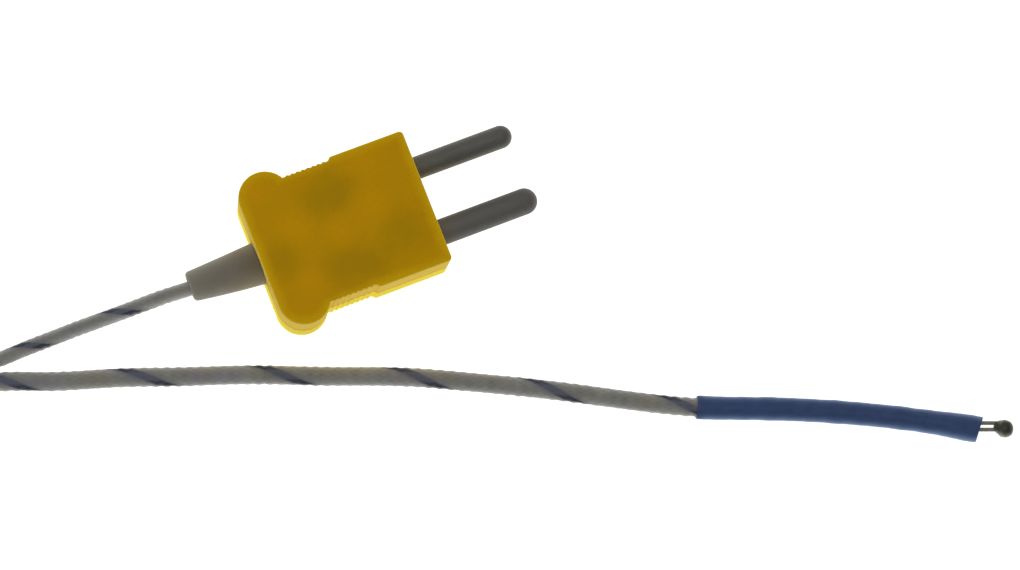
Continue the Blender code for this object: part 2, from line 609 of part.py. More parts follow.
def add_cable(braid):
    """The two stretches of cable that aren't coiled."""
    route = curve_through(np.array(PLUG_ROUTE) * MM)
    start, end = outside_coil(route)
    add_tube("cable_plug_stretch", stretch(route, start, end, TUBE_SPACING), CABLE_DIAMETER, braid)
    route = curve_through(np.array(PROBE_ROUTE) * MM)
    start = outside_coil(route)[0]
    end = lengths_along(route)[-1] - SLEEVE_LENGTH + CABLE_IN_SLEEVE
    add_tube("cable_probe_stretch", stretch(route, start, end, TUBE_SPACING), CABLE_DIAMETER, braid)


def add_sleeve(film):
    """Shrunk sleeve over the cable's end, flared and cut on the slant at its mouth."""
    route = curve_through(np.array(PROBE_ROUTE) * MM)
    total = lengths_along(route)[-1]
    points = stretch(route, total - SLEEVE_LENGTH, total, TUBE_SPACING / 2)
    ahead = points[-1] - points[-2]
    ahead /= np.linalg.norm(ahead)
    points = np.vstack([points, points[-1] + ahead * SLEEVE_DIAMETER / 2])
    left = total - np.minimum(lengths_along(points) + total - SLEEVE_LENGTH, total)
    swell = 1.0 + (SLEEVE_FLARE - 1.0) * np.clip(1.0 - left / SLEEVE_FLARE_LENGTH, 0.0, 1.0)
    guide = add_tube("sleeve_skin", points, SLEEVE_DIAMETER, film, SLEEVE_BEVEL_RESOLUTION,
                     capped=False, swell=swell)
    evaluated = guide.evaluated_get(bpy.context.evaluated_depsgraph_get())
    skin = bpy.data.meshes.new_from_object(evaluated)
    bpy.data.objects.remove(guide, do_unlink=True)
    skin.shade_smooth()
    sleeve = add_object("heat_shrink_sleeve", skin)
    wall = sleeve.modifiers.new("wall", "SOLIDIFY")
    wall.thickness = SLEEVE_WALL
    wall.offset = -1.0
    heading = np.arctan2(ahead[1], ahead[0])
    size = 2 * SLEEVE_DIAMETER
    mouth = route[-1]
    knife = add_cutter("cut_sleeve_mouth", block((0.0, -size, -size), (2 * size, size, size)),
                       tuple(mouth), (0.0, 0.0, heading - SLEEVE_CUT_ANGLE))
    combine(sleeve, [knife])


def add_tip(insulation, metals, weld):
    """The insulated legs in the sleeve, and the two wires welded in a bead."""
    route = curve_through(np.array(PROBE_ROUTE) * MM)
    total = lengths_along(route)[-1]
    start = total - SLEEVE_LENGTH + CABLE_IN_SLEEVE + SEAT_GAP
    first, last = Vector(TIP_WIRE_START), Vector(TIP_WIRE_END)
    run = (last - first).normalized()
    side_way = Vector((-run.y, run.x, 0.0)).normalized()
    wires = []
    for side, label in zip((1, -1), metals):
        offset = side_way * side * TIP_WIRE_SPACING / 2
        base = first + offset
        end = base - run * SEAT_GAP
        legs = stretch(route, start, total - TIP_CORE_SPREAD, 2 * FINE_SPACING)
        legs = beside(legs, side * TIP_CORE_SPACING / 2)
        leg = curve_through(np.vstack([legs, [tuple(end - run * CORE_DIAMETER)], [tuple(end)]]))
        leg = stretch(leg, 0.0, lengths_along(leg)[-1], FINE_SPACING)
        add_tube(f"tip_core_{label}", leg, CORE_DIAMETER, insulation)
        wires.append((f"join_wire_{label}", base))
    radius = BEAD_DIAMETER / 2
    angles = [pi * k / (2 * DOME_STEPS) for k in range(1, 2 * DOME_STEPS)]
    arc = [(-radius, 0.0), *[(-radius * cos(a), radius * sin(a)) for a in angles], (radius, 0.0)]
    bead = add_object("measuring_junction", mesh_from(lathe(arc, ROUND_STEPS), "bead", True),
                      BEAD_CENTRE, material=weld)
    turn = (0.0, -asin(run.z), np.arctan2(run.y, run.x))
    for name, base in wires:
        wire = cylinder(0.0, (last - first).length, TIP_WIRE_DIAMETER / 2, SMALL_ROUND_STEPS)
        combine(bead, [add_cutter(name, wire, base, turn)], "UNION")


def empty_at(name, place, heading=0.0):
    """An empty that carries a group of pieces."""
    carrier = bpy.data.objects.new(name, None)
    carrier.location = place
    carrier.rotation_euler = (0.0, 0.0, heading)
    bpy.context.collection.objects.link(carrier)
    return carrier


def main():
    """Build every piece of the probe."""
    for thing in list(bpy.data.objects):
        bpy.data.objects.remove(thing, do_unlink=True)
    plastic = new_material("yellow_plastic", (0.72, 0.5, 0.02), 0.42)
    rubber = new_material("grey_rubber", (0.36, 0.33, 0.27), 0.7)
    braid = new_material("glass_braid", (0.5, 0.49, 0.45), 0.75)
    insulation = new_material("core_braid", (0.6, 0.5, 0.3), 0.75)
    film = new_material("blue_film", (0.03, 0.07, 0.24), 0.45)
    steel = new_material("plated_steel", (0.6, 0.6, 0.6), 0.35, 1.0)
    nylon = new_material("black_nylon", (0.03, 0.03, 0.03), 0.5)
    weld = new_material("welded_wire", (0.25, 0.24, 0.21), 0.4, 1.0)
    metals = {
        "positive": new_material("chromium_alloy", (0.33, 0.33, 0.32), 0.38, 1.0),
        "negative": new_material("aluminium_alloy", (0.3, 0.3, 0.3), 0.42, 1.0),
    }
    plug = empty_at("plug_parting_plane", (0.0, 0.0, MID_HEIGHT))
    add_shells(plug, plastic)
    add_shell_screws(plug, steel)
    add_pins(plug, metals)
    add_terminals(plug, steel)
    add_boot(plug, rubber)
    add_plug_wiring(braid, insulation, metals)
    add_cable(braid)
    add_coil(braid)
    add_tie(nylon)
    add_sleeve(film)
    add_tip(insulation, metals, weld)


main()
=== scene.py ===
"""Looks of the thermocouple probe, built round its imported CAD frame.

Metres, +Z up, in the CAD's own frame: the plug lies along X with its pins towards +X and its
underside on z = 0. The cable leaves the boot towards -X, is coiled outside the picture and
comes back past the plug to the blue sleeve, the two bare wires and the welded bead.
"""
from __future__ import annotations

import json
import logging
from dataclasses import dataclass
from enum import Enum
from math import cos, pi, radians, sin, tau
from typing import Any, Callable, Sequence

import bmesh
import bpy
import numpy as np
from mathutils import Matrix, Vector

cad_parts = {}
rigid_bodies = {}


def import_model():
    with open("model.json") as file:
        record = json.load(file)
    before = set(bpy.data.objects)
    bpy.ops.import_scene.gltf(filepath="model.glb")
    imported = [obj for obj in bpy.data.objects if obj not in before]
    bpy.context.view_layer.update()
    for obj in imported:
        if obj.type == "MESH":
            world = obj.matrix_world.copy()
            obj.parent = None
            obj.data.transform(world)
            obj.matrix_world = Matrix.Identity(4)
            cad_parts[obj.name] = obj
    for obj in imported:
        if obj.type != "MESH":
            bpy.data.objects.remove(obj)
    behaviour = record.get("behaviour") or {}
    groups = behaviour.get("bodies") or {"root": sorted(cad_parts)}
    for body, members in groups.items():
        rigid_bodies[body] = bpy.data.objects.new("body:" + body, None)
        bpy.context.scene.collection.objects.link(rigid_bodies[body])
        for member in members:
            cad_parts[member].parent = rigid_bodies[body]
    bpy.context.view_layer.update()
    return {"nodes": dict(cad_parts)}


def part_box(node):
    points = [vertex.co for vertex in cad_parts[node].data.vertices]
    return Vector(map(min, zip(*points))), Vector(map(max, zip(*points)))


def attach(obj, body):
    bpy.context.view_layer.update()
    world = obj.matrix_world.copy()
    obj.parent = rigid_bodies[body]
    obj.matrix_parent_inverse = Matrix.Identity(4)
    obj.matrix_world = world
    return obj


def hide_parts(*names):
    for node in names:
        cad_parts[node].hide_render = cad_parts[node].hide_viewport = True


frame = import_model()

MM = 0.001
Array = np.ndarray
Colour = tuple[float, float, float]
Spots = Sequence[tuple[float, float, float]]
log = logging.getLogger("thermocouple_probe")


class Pole(Enum):
    """The two legs of the pair; the positive one lies towards +Y."""

    POSITIVE = "positive"
    NEGATIVE = "negative"

    @property
    def side(self) -> float:
        """1 towards +Y and -1 towards -Y."""
        return 1.0 if self is Pole.POSITIVE else -1.0


def operator(operation: str, swapped: bool = False) -> Callable[..., "Wire"]:
    """A method of Wire that adds one Math node.

    Args:
        operation: The node's operation.
        swapped: Whether the wire itself comes second.

    Returns:
        The method.
    """
    def method(self: "Wire", *others: "Number") -> "Wire":
        """This number and the others through the node."""
        return self.bench.math(operation, *((*others, self) if swapped else (self, *others)))

    return method


@dataclass(frozen=True)
class Wire:
    """A shader socket that takes part in Python expressions, in which % always steps down."""

    bench: "Bench"
    socket: bpy.types.NodeSocket

    __add__ = operator("ADD")
    __radd__ = operator("ADD")
    __sub__ = operator("SUBTRACT")
    __rsub__ = operator("SUBTRACT", swapped=True)
    __mul__ = operator("MULTIPLY")
    __rmul__ = operator("MULTIPLY")
    __truediv__ = operator("DIVIDE")
    __pow__ = operator("POWER")
    __mod__ = operator("FLOORED_MODULO")
    __abs__ = operator("ABSOLUTE")
    sine = operator("SINE")
    least = operator("MINIMUM")
    most = operator("MAXIMUM")

    def ease(self, low: float, high: float) -> "Wire":
        """Smooth step, which falls where low is the greater.

        Args:
            low: Where it is 0.
            high: Where it is 1.

        Returns:
            The step.
        """
        step = self.bench.node(
            "ShaderNodeMapRange",
            {"interpolation_type": "SMOOTHSTEP"},
            {"Value": self, "From Min": low, "From Max": high},
        )
        return Wire(self.bench, step.outputs["Result"])


Number = Wire | float


class Bench:
    """One material under construction."""

    def __init__(self, name: str) -> None:
        """Open an empty material.

        Args:
            name: Name of the material.
        """
        self.material = bpy.data.materials.new(name)
        self.material.use_nodes = True
        self.tree = self.material.node_tree
        self.shader = self.tree.nodes["Principled BSDF"]

    def feed(self, socket: bpy.types.NodeSocket, value: Any) -> None:
        """Give a socket a link or a plain value.

        Args:
            socket: The input that takes it.
            value: A wire, a number, or a colour or vector as a tuple.
        """
        if isinstance(value, Wire):
            self.tree.links.new(value.socket, socket)
        elif isinstance(value, tuple) and len(value) == 3 and socket.type == "RGBA":
            socket.default_value = (*value, 1.0)
        else:
            socket.default_value = value

    def node(self, kind: str, settings: dict[str, Any] | None = None,
             inputs: dict[str | int, Any] | None = None) -> bpy.types.Node:
        """Add any node.

        Args:
            kind: The node's type.
            settings: Its settings.
            inputs: Values or wires by the socket's name or number.

        Returns:
            The node.
        """
        node = self.tree.nodes.new(kind)
        for key, value in (settings or {}).items():
            setattr(node, key, value)
        for key, value in (inputs or {}).items():
            self.feed(node.inputs[key], value)
        return node

    def math(self, operation: str, *numbers: Number) -> Wire:
        """A Math node on one or two numbers."""
        node = self.node("ShaderNodeMath", {"operation": operation}, dict(enumerate(numbers)))
        return Wire(self, node.outputs[0])

    def blend(self, factor: Number, first: Wire | Colour, second: Wire | Colour) -> Wire:
        """Mix two colours.

        Args:
            factor: 0 for the first, 1 for the second.
            first: Colour at 0.
            second: Colour at 1.

        Returns:
            The mixed colour.
        """
        node = self.node("ShaderNodeMix", {"data_type": "RGBA"}, {0: factor, 6: first, 7: second})
        return Wire(self, node.outputs[2])

    def place(self) -> Wire:
        """Object coordinates, in metres."""
        return Wire(self, self.node("ShaderNodeTexCoord").outputs["Object"])

    def along_surface(self) -> tuple[Wire, Wire]:
        """The two coordinates of the piece's own UV map."""
        return self.parts(Wire(self, self.node("ShaderNodeUVMap").outputs["UV"]))[:2]

    def stored(self, name: str) -> Wire:
        """A number that the mesh keeps at its points."""
        return Wire(self, self.node("ShaderNodeAttribute", {"attribute_name": name}).outputs["Fac"])

    def facing(self) -> tuple[Wire, Wire, Wire]:
        """The three parts of the surface's own normal."""
        return self.parts(Wire(self, self.node("ShaderNodeNewGeometry").outputs["Normal"]))

    def parts(self, vector: Wire) -> tuple[Wire, Wire, Wire]:
        """X, Y and Z of a vector."""
        outputs = self.node("ShaderNodeSeparateXYZ", inputs={"Vector": vector}).outputs
        return Wire(self, outputs[0]), Wire(self, outputs[1]), Wire(self, outputs[2])

    def joined(self, x: Number, y: Number, z: Number = 0.0) -> Wire:
        """A vector from three numbers."""
        node = self.node("ShaderNodeCombineXYZ", inputs={0: x, 1: y, 2: z})
        return Wire(self, node.outputs[0])

    def noise(self, grain: float, place: Wire | None = None, detail: float = 2.0,
              roughness: float = 0.5) -> Wire:
        """Cloudy noise from 0 to 1.

        Args:
            grain: Size of a cloud, in the coordinates' unit.
            place: Coordinates, or object coordinates if left out.
            detail: Finer layers.
            roughness: Weight of the finer layers.

        Returns:
            The noise.
        """
        inputs = {"Vector": place or self.place(), "Scale": 1.0 / grain, "Detail": detail,
                  "Roughness": roughness}
        return Wire(self, self.node("ShaderNodeTexNoise", inputs=inputs).outputs["Fac"])

    def relief(self, height: Wire, depth: float, under: Wire | None = None) -> Wire:
        """A bumped normal.

        Args:
            height: Height from 0 to 1.
            depth: Depth that 1 stands for, in metres.
            under: A bumped normal that this one lies on.

        Returns:
            The normal.
        """
        inputs: dict[str | int, Any] = {"Height": height, "Distance": depth, "Strength": 1.0}
        if under is not None:
            inputs["Normal"] = under
        return Wire(self, self.node("ShaderNodeBump", inputs=inputs).outputs["Normal"])

    def surface(self, **inputs: Any) -> bpy.types.Material:
        """Feed the Principled shader.

        Args:
            inputs: Values or wires by the socket's name, with _ for each space.

        Returns:
            The finished material.
        """
        for key, value in inputs.items():
            self.feed(self.shader.inputs[key.replace("_", " ")], value)
        return self.material


@dataclass(frozen=True)
class ShellPlastic:
    """Yellow moulded plastic with a painted glow where it is thin, towards its rim and sides."""

    half_length: float
    half_width: float
    ear: tuple[float, float, float]
    parting: float
    side: Colour
    glow: Colour
    core: Colour = (0.79, 0.415, 0.002)
    painted_shade_olive: Colour = (0.62, 0.35, 0.003)
    painted_glow_amber: Colour = (0.89, 0.44, 0.002)
    rim: Colour = (0.92, 0.55, 0.004)
    seam_shade: Colour = (0.88, 0.55, 0.05)
    rim_glow_reach: float = 1.9 * MM
    ragged: float = 4.0 * MM
    shades: Spots = ()
    glows: Spots = ()

    def patch(self, bench: Bench, spots: Spots) -> Number:
        """Soft round patches on the face, used for painted shade and for painted glow.

        Args:
            bench: The material's bench.
            spots: Each patch's X, Y and radius.

        Returns:
            1 inside a patch, fading to 0 at its ragged edge.
        """
        x, y, _ = bench.parts(bench.place())
        ragged = (bench.noise(self.ragged) - 0.5) * self.ragged
        total: Number = 0.0
        for at_x, at_y, radius in spots:
            apart = ((x - at_x) ** 2.0 + (y - at_y) ** 2.0) ** 0.5 + ragged
            total = apart.ease(radius, 0.0) + total
        return total

    def material(self, name: str) -> bpy.types.Material:
        """Colour by depth from the outline and on the upright sides as painted glow, mould texture,
        patches of painted shade and glow, and painted shade at the seam.

        Args:
            name: Name of the material.

        Returns:
            The material.
        """
        bench = Bench(name)
        x, y, z = bench.parts(bench.place())
        ear_x, ear_y, ear_radius = self.ear
        by_ear = ear_radius - ((x - ear_x) ** 2.0 + (abs(y) - ear_y) ** 2.0) ** 0.5
        depth = (self.half_length - abs(x)).least(self.half_width - abs(y)).most(by_ear)
        wander = bench.noise(3.0 * MM, detail=1.5)
        depth = depth + (wander - 0.5) * (0.9 * MM)
        # Painted shade where metal inside the shell would darken the face, then painted glow in
        # patches where nothing does.
        colour = bench.blend(self.patch(bench, self.shades) * 0.85, self.core, self.painted_shade_olive)
        colour = bench.blend(self.patch(bench, self.glows) * 0.7, colour, self.painted_glow_amber)
        # Painted glow: paler towards the outline, as if the table's light came through the thin rim.
        colour = bench.blend(depth.ease(0.0, self.rim_glow_reach), self.rim, colour)
        # The upright sides take the side colour: the plastic's own, made paler by painted glow from
        # the table.
        upright = 1.0 - abs(bench.facing()[2]).ease(0.35, 0.95)
        # Painted shade: a darker orange band along the parting groove.
        by_seam_shade = abs(z - self.parting).ease(0.75 * MM, 0.3 * MM)
        side = bench.blend(by_seam_shade, self.side, self.seam_shade)
        colour = bench.blend(upright, colour, side)
        specks = bench.noise(0.35 * MM, detail=3.0).ease(0.3, 0.7)
        colour = bench.blend(specks * 0.08, colour, (0.3, 0.14, 0.002))
        grain = bench.noise(0.11 * MM, detail=3.0, roughness=0.6)
        ripple = bench.noise(1.4 * MM, detail=1.0)
        normal = bench.relief(ripple, 0.012 * MM)
        normal = bench.relief(grain, 0.006 * MM, normal)
        # Painted glow: the upright sides emit a little light, as if the table shone through them.
        lit = bench.blend(upright, (0.0, 0.0, 0.0), self.glow)
        bench.material.cycles.emission_sampling = "NONE"
        return bench.surface(Base_Color=colour, Roughness=0.38 + grain * 0.14 + upright * 0.3,
                             Normal=normal, Specular_IOR_Level=0.03, Emission_Color=lit,
                             Emission_Strength=1.0)


@dataclass(frozen=True)
class BootRubber:
    """Grey-beige moulded rubber with a dusty bloom."""

    mouth_x: float
    root_x: float
    body: Colour = (0.195, 0.163, 0.12)
    bloom: Colour = (0.32, 0.305, 0.25)
    painted_edge_light: Colour = (0.62, 0.60, 0.49)

    def material(self, name: str) -> bpy.types.Material:
        """A bloom that grows towards the mouth, in soft patches over fine grain, and painted light on
        the sides.

        Args:
            name: Name of the material.

        Returns:
            The material.
        """
        bench = Bench(name)
        patches = bench.noise(3.5 * MM).ease(0.3, 0.8)
        grain = bench.noise(0.12 * MM, detail=3.0, roughness=0.65)
        near = bench.parts(bench.place())[0].ease(self.root_x, self.mouth_x)
        colour = bench.blend(patches * 0.3 + near * 0.55, self.body, self.bloom)
        # Painted light: paler where the surface stands upright, as if lit from the table.
        colour = bench.blend((1.0 - abs(bench.facing()[2])) * 0.5, colour, self.painted_edge_light)
        colour = bench.blend(grain.ease(0.55, 0.75) * 0.15, colour, (0.1, 0.09, 0.07))
        normal = bench.relief(bench.noise(0.9 * MM), 0.02 * MM)
        normal = bench.relief(grain, 0.012 * MM, normal)
        return bench.surface(Base_Color=colour, Roughness=0.62 + grain * 0.2, Normal=normal,
                             Specular_IOR_Level=0.3)


@dataclass(frozen=True)
class TurnedAlloy:
    """Dull turned metal with rings across its axis, which is X."""

    body: Colour = (0.24, 0.238, 0.205)
    painted_top_tone: Colour = (0.205, 0.202, 0.186)
    roughness: float = 0.66

    def material(self, name: str) -> bpy.types.Material:
        """Fine turning rings, a painted tone on the upward faces that sets them apart from the sides,
        and faint oxide clouds and lengthwise scuffs.

        Args:
            name: Name of the material.

        Returns:
            The material.
        """
        bench = Bench(name)
        x, y, z = bench.parts(bench.place())
        rings = bench.noise(1.0, bench.joined(x / (0.07 * MM), y / (4.0 * MM), z / (4.0 * MM)))
        scuffs = bench.noise(1.0, bench.joined(x / (2.6 * MM), y / (0.16 * MM), z / (0.16 * MM)),
                             detail=3.0, roughness=0.6).ease(0.5, 0.72)
        clouds = bench.noise(3.0 * MM)
        # Painted light and shade: the upward faces take their own tone, mixed with the real oxide
        # clouds.
        top_tone_and_clouds = abs(bench.facing()[2]).ease(0.3, 1.0) * 0.85 + clouds * 0.15
        colour = bench.blend(top_tone_and_clouds, self.body, self.painted_top_tone)
        colour = bench.blend(scuffs * 0.12, colour, (0.3, 0.3, 0.28))
        rough = self.roughness + clouds * 0.1 - scuffs * 0.05
        return bench.surface(Base_Color=colour, Metallic=1.0, Roughness=rough,
                             Normal=bench.relief(rings, 0.004 * MM))


@dataclass(frozen=True)
class PlatedSteel:
    """Bright plated screws and washers."""

    body: Colour = (0.52, 0.5, 0.46)

    def material(self, name: str) -> bpy.types.Material:
        """Plating with faint stains and a brushed grain.

        Args:
            name: Name of the material.

        Returns:
            The material.
        """
        bench = Bench(name)
        stains = bench.noise(0.8 * MM, detail=3.0)
        grain = bench.noise(0.05 * MM)
        colour = bench.blend(stains.ease(0.45, 0.8), self.body, (0.36, 0.33, 0.28))
        return bench.surface(Base_Color=colour, Metallic=1.0, Roughness=0.26 + stains * 0.2,
                             Normal=bench.relief(grain, 0.003 * MM))


@dataclass(frozen=True)
class WeldedAlloy:
    """Drawn wire, dark where the weld's heat has oxidised it."""

    weld: tuple[float, float, float]
    reach: float = 1.5 * MM
    wire: Colour = (0.37, 0.36, 0.29)
    scale: Colour = (0.075, 0.078, 0.058)
    painted_edge_light: Colour = (0.5, 0.5, 0.45)

    def material(self, name: str) -> bpy.types.Material:
        """Oxide by distance from the weld's middle, with clouds, fine pits and painted light on its
        sides.

        Args:
            name: Name of the material.

        Returns:
            The material.
        """
        bench = Bench(name)
        x, y, z = bench.parts(bench.place())
        weld_x, weld_y, weld_z = self.weld
        apart = ((x - weld_x) ** 2.0 + (y - weld_y) ** 2.0 + (z - weld_z) ** 2.0) ** 0.5
        clouds = bench.noise(0.9 * MM, detail=3.0)
        pits = bench.noise(0.16 * MM, detail=3.0)
        clean = (apart + (clouds - 0.5) * (0.5 * MM)).ease(self.reach, self.reach + 0.7 * MM)
        colour = bench.blend(clean, self.scale, self.wire)
        colour = bench.blend(clouds.ease(0.4, 0.7) * 0.25, colour, (0.15, 0.14, 0.11))
        # Painted light: paler where the surface stands upright.
        slope = 1.0 - abs(bench.facing()[2])
        colour = bench.blend(slope ** 1.5 * 1.1, colour, self.painted_edge_light)
        normal = bench.relief(clouds, 0.008 * MM)
        normal = bench.relief(pits, 0.003 * MM, normal)
        return bench.surface(Base_Color=colour, Metallic=1.0, Roughness=0.52 + pits * 0.15,
                             Normal=normal)


@dataclass(frozen=True)
class GlassBraid:
    """Braided glass-fibre yarns in both directions, on the braid's own UV map.

    U counts yarns along the helix and V counts them around, so U - V and U + V number the
    yarns of the two directions, and a yarn is on top where both numbers' whole parts are
    both even or both odd. The tracer is the yarn of the right-hand direction numbered 0.
    """

    yarns: int
    light: Colour = (0.385, 0.382, 0.345)
    dark: Colour = (0.165, 0.162, 0.142)
    painted_edge_light: Colour = (0.80, 0.79, 0.76)
    blue: Colour = (0.035, 0.045, 0.07)
    painted_tracer_top_light: Colour = (0.13, 0.142, 0.195)
    haze: Colour = (0.18, 0.19, 0.24)

    def material(self, name: str) -> bpy.types.Material:
        """Yarns with fibres, painted shade in the gaps between them and between rings, painted light
        on the sides, and the tracer yarn with a painted light on its top.

        Args:
            name: Name of the material.

        Returns:
            The material.
        """
        bench = Bench(name)
        along, around = bench.along_surface()
        right, left = along - around, along + around
        wave_r, wave_l = (right * pi).sine(), (left * pi).sine()
        over = (wave_r * wave_l).ease(-0.12, 0.12)
        pillow = (abs(wave_r) * abs(wave_l)) ** 0.5
        fibres_r = bench.noise(1.0, bench.joined(right * 9.0, left * 0.5))
        fibres_l = bench.noise(1.0, bench.joined(right * 0.5, left * 9.0, 7.0))
        fibres = fibres_l + (fibres_r - fibres_l) * over
        grime = bench.noise(2.6 * MM, detail=3.0)
        row = abs((along * pi).sine())
        # Painted light on the yarns' raised middles and the rings' crests, painted shade between
        # them, with real fibres and grime.
        glow = pillow * 0.08 + row * 0.1 + fibres.ease(0.25, 0.75) * 0.2 + grime * 0.8
        colour = bench.blend(glow, self.dark, self.light)
        umber = bench.noise(4.5 * MM).ease(0.5, 0.66)
        x, y, z = bench.parts(bench.place())
        violet = bench.noise(5.5 * MM, bench.joined(x + 0.03, y, z)).ease(0.48, 0.66)
        colour = bench.blend(umber * 0.45, colour, (0.33, 0.285, 0.215))
        colour = bench.blend(violet * 0.4, colour, (0.275, 0.27, 0.33))
        upward = bench.stored("upward")
        # Painted light: the cable's sides turn pale, as if lit from the table.
        colour = bench.blend((1.0 - upward) * 0.84, colour, self.painted_edge_light)
        half = self.yarns / 2
        apart = abs((right + (half - 0.5)) % self.yarns - half)
        # Painted light: the tracer is paler blue-grey where it faces up, and gives way to the painted
        # pale sides.
        middle = (upward + fibres * 0.06).ease(0.86, 1.0)
        yarn = bench.blend(middle, self.blue, self.painted_tracer_top_light)
        shown = upward.ease(0.15, 0.6) * (0.95 + over * 0.05)
        colour = bench.blend(apart.ease(2.4, 0.6) * 0.45, colour, self.haze)
        colour = bench.blend(apart.ease(1.3, 0.4) * shown, colour, yarn)
        normal = bench.relief(pillow, 0.02 * MM)
        normal = bench.relief(fibres, 0.012 * MM, normal)
        return bench.surface(Base_Color=colour, Roughness=0.58 + fibres * 0.25, Normal=normal,
                             Sheen_Weight=0.15, Specular_IOR_Level=0.4)


@dataclass(frozen=True)
class CoreYarn:
    """Fine braid on a thin insulated leg, on object coordinates."""

    body: Colour

    def material(self, name: str) -> bpy.types.Material:
        """Crossed fine yarns with fuzz.

        Args:
            name: Name of the material.

        Returns:
            The material.
        """
        bench = Bench(name)
        x, y, z = bench.parts(bench.place())
        slant = ((x + y + z) / (0.11 * MM)).sine() * ((x - y - z) / (0.11 * MM)).sine()
        fuzz = bench.noise(0.2 * MM, detail=3.0)
        colour = bench.blend(slant.ease(-0.6, 0.6) * 0.5 + fuzz * 0.5, (0.12, 0.09, 0.05),
                             self.body)
        return bench.surface(Base_Color=colour, Roughness=0.8,
                             Normal=bench.relief(slant.ease(-1.0, 1.0), 0.02 * MM))


@dataclass(frozen=True)
class ShrinkFilm:
    """Blue heat-shrink film, satin, with faint shrink wrinkles round it."""

    body: Colour = (0.028, 0.066, 0.19)
    pale: Colour = (0.05, 0.10, 0.25)
    painted_edge_light: Colour = (0.20, 0.33, 0.58)

    def material(self, name: str) -> bpy.types.Material:
        """Wrinkles across the axis, drawn out streaks, dust and painted light on its sides.

        Args:
            name: Name of the material.

        Returns:
            The material.
        """
        bench = Bench(name)
        along, around = bench.along_surface()
        streaks = bench.noise(1.0, bench.joined(along * 0.5, around * 18.0), detail=3.0)
        bands = bench.noise(1.0, bench.joined(along * 1.4, around * 2.0, 3.0))
        dust = bench.noise(0.3 * MM, detail=3.0).ease(0.6, 0.8)
        colour = bench.blend(streaks.ease(0.3, 0.75) * 0.45 + bands * 0.3, self.body, self.pale)
        colour = bench.blend(dust * 0.12, colour, (0.3, 0.33, 0.4))
        # Painted light: paler where the surface stands upright, fading in near the sleeve's back end.
        slope = (1.0 - abs(bench.facing()[2])) * along.ease(0.0, 1.5)
        colour = bench.blend(slope ** 1.5 * 1.25, colour, self.painted_edge_light)
        normal = bench.relief(bands, 0.03 * MM)
        normal = bench.relief(streaks, 0.008 * MM, normal)
        return bench.surface(Base_Color=colour, Roughness=0.42 + streaks * 0.15, Normal=normal,
                             Specular_IOR_Level=0.4)


@dataclass(frozen=True)
class TieNylon:
    """Black moulded nylon of the coil's tie."""

    body: Colour = (0.02, 0.02, 0.022)

    def material(self, name: str) -> bpy.types.Material:
        """Satin nylon with a moulded grain and pale scuffs.

        Args:
            name: Name of the material.

        Returns:
            The material.
        """
        bench = Bench(name)
        grain = bench.noise(0.15 * MM, detail=3.0)
        scuffs = bench.noise(0.8 * MM, detail=4.0, roughness=0.7).ease(0.6, 0.75)
        colour = bench.blend(scuffs * 0.3, self.body, (0.12, 0.12, 0.12))
        return bench.surface(Base_Color=colour, Roughness=0.4 + grain * 0.2,
                             Normal=bench.relief(grain, 0.008 * MM))


def ease(x: Array | float, low: float, high: float) -> Array:
    """Smooth step: 0 below low, 1 above high, and 3t^2 - 2t^3 between."""
    t = np.clip((np.asarray(x, dtype=float) - low) / (high - low), 0.0, 1.0)
    return t * t * (3.0 - 2.0 * t)


def grid_faces(rows: int, columns: int, wrap_rows: bool) -> Array:
    """Quads between the neighbours of a grid whose last column joins the first.

    Args:
        rows: Rows of points.
        columns: Columns of points.
        wrap_rows: Whether the last row joins the first too.

    Returns:
        Vertex numbers, four to a face.
    """
    height = rows if wrap_rows else rows - 1
    i, j = np.meshgrid(np.arange(height), np.arange(columns), indexing="ij")
    down, right = (i + 1) % rows, (j + 1) % columns
    quads = np.stack([i * columns + j, i * columns + right, down * columns + right,
                      down * columns + j], axis=-1)
    return quads.reshape(-1, 4)


def mesh_from_grid(name: str, points: Array, wrap_rows: bool = False, uv: Array | None = None,
                   sharp: float = 40.0, upward: Array | None = None) -> bpy.types.Mesh:
    """Put a grid of points into a closed, smooth mesh.

    Args:
        name: Name of the mesh.
        points: Rows by columns by 3. Poles and seams are repeated points, welded here.
        wrap_rows: Whether the last row joins the first, as the last column always does.
        uv: Rows by columns by 2, with one more row or column on each wrapped side.
        sharp: Angle between faces, in degrees, past which an edge stays sharp.
        upward: Rows by columns, kept at the points under that name for the finish.

    Returns:
        The mesh, with its faces outwards.
    """
    rows, columns = points.shape[:2]
    faces = grid_faces(rows, columns, wrap_rows)
    mesh = bpy.data.meshes.new(name)
    mesh.vertices.add(rows * columns)
    mesh.vertices.foreach_set("co", points.astype(np.float32).ravel())
    mesh.loops.add(faces.size)
    mesh.loops.foreach_set("vertex_index", faces.astype(np.int32).ravel())
    mesh.polygons.add(len(faces))
    mesh.polygons.foreach_set("loop_start", np.arange(0, faces.size, 4, dtype=np.int32))
    mesh.update(calc_edges=True)
    if upward is not None:
        kept = mesh.attributes.new("upward", "FLOAT", "POINT")
        kept.data.foreach_set("value", upward.astype(np.float32).ravel())
    if uv is not None:
        height = rows if wrap_rows else rows - 1
        i, j = np.meshgrid(np.arange(height), np.arange(columns), indexing="ij")
        corners = np.stack([uv[i, j], uv[i, j + 1], uv[i + 1, j + 1], uv[i + 1, j]], axis=2)
        layer = mesh.uv_layers.new(name="UVMap")
        layer.data.foreach_set("uv", corners.astype(np.float32).ravel())
    return welded(mesh, sharp)


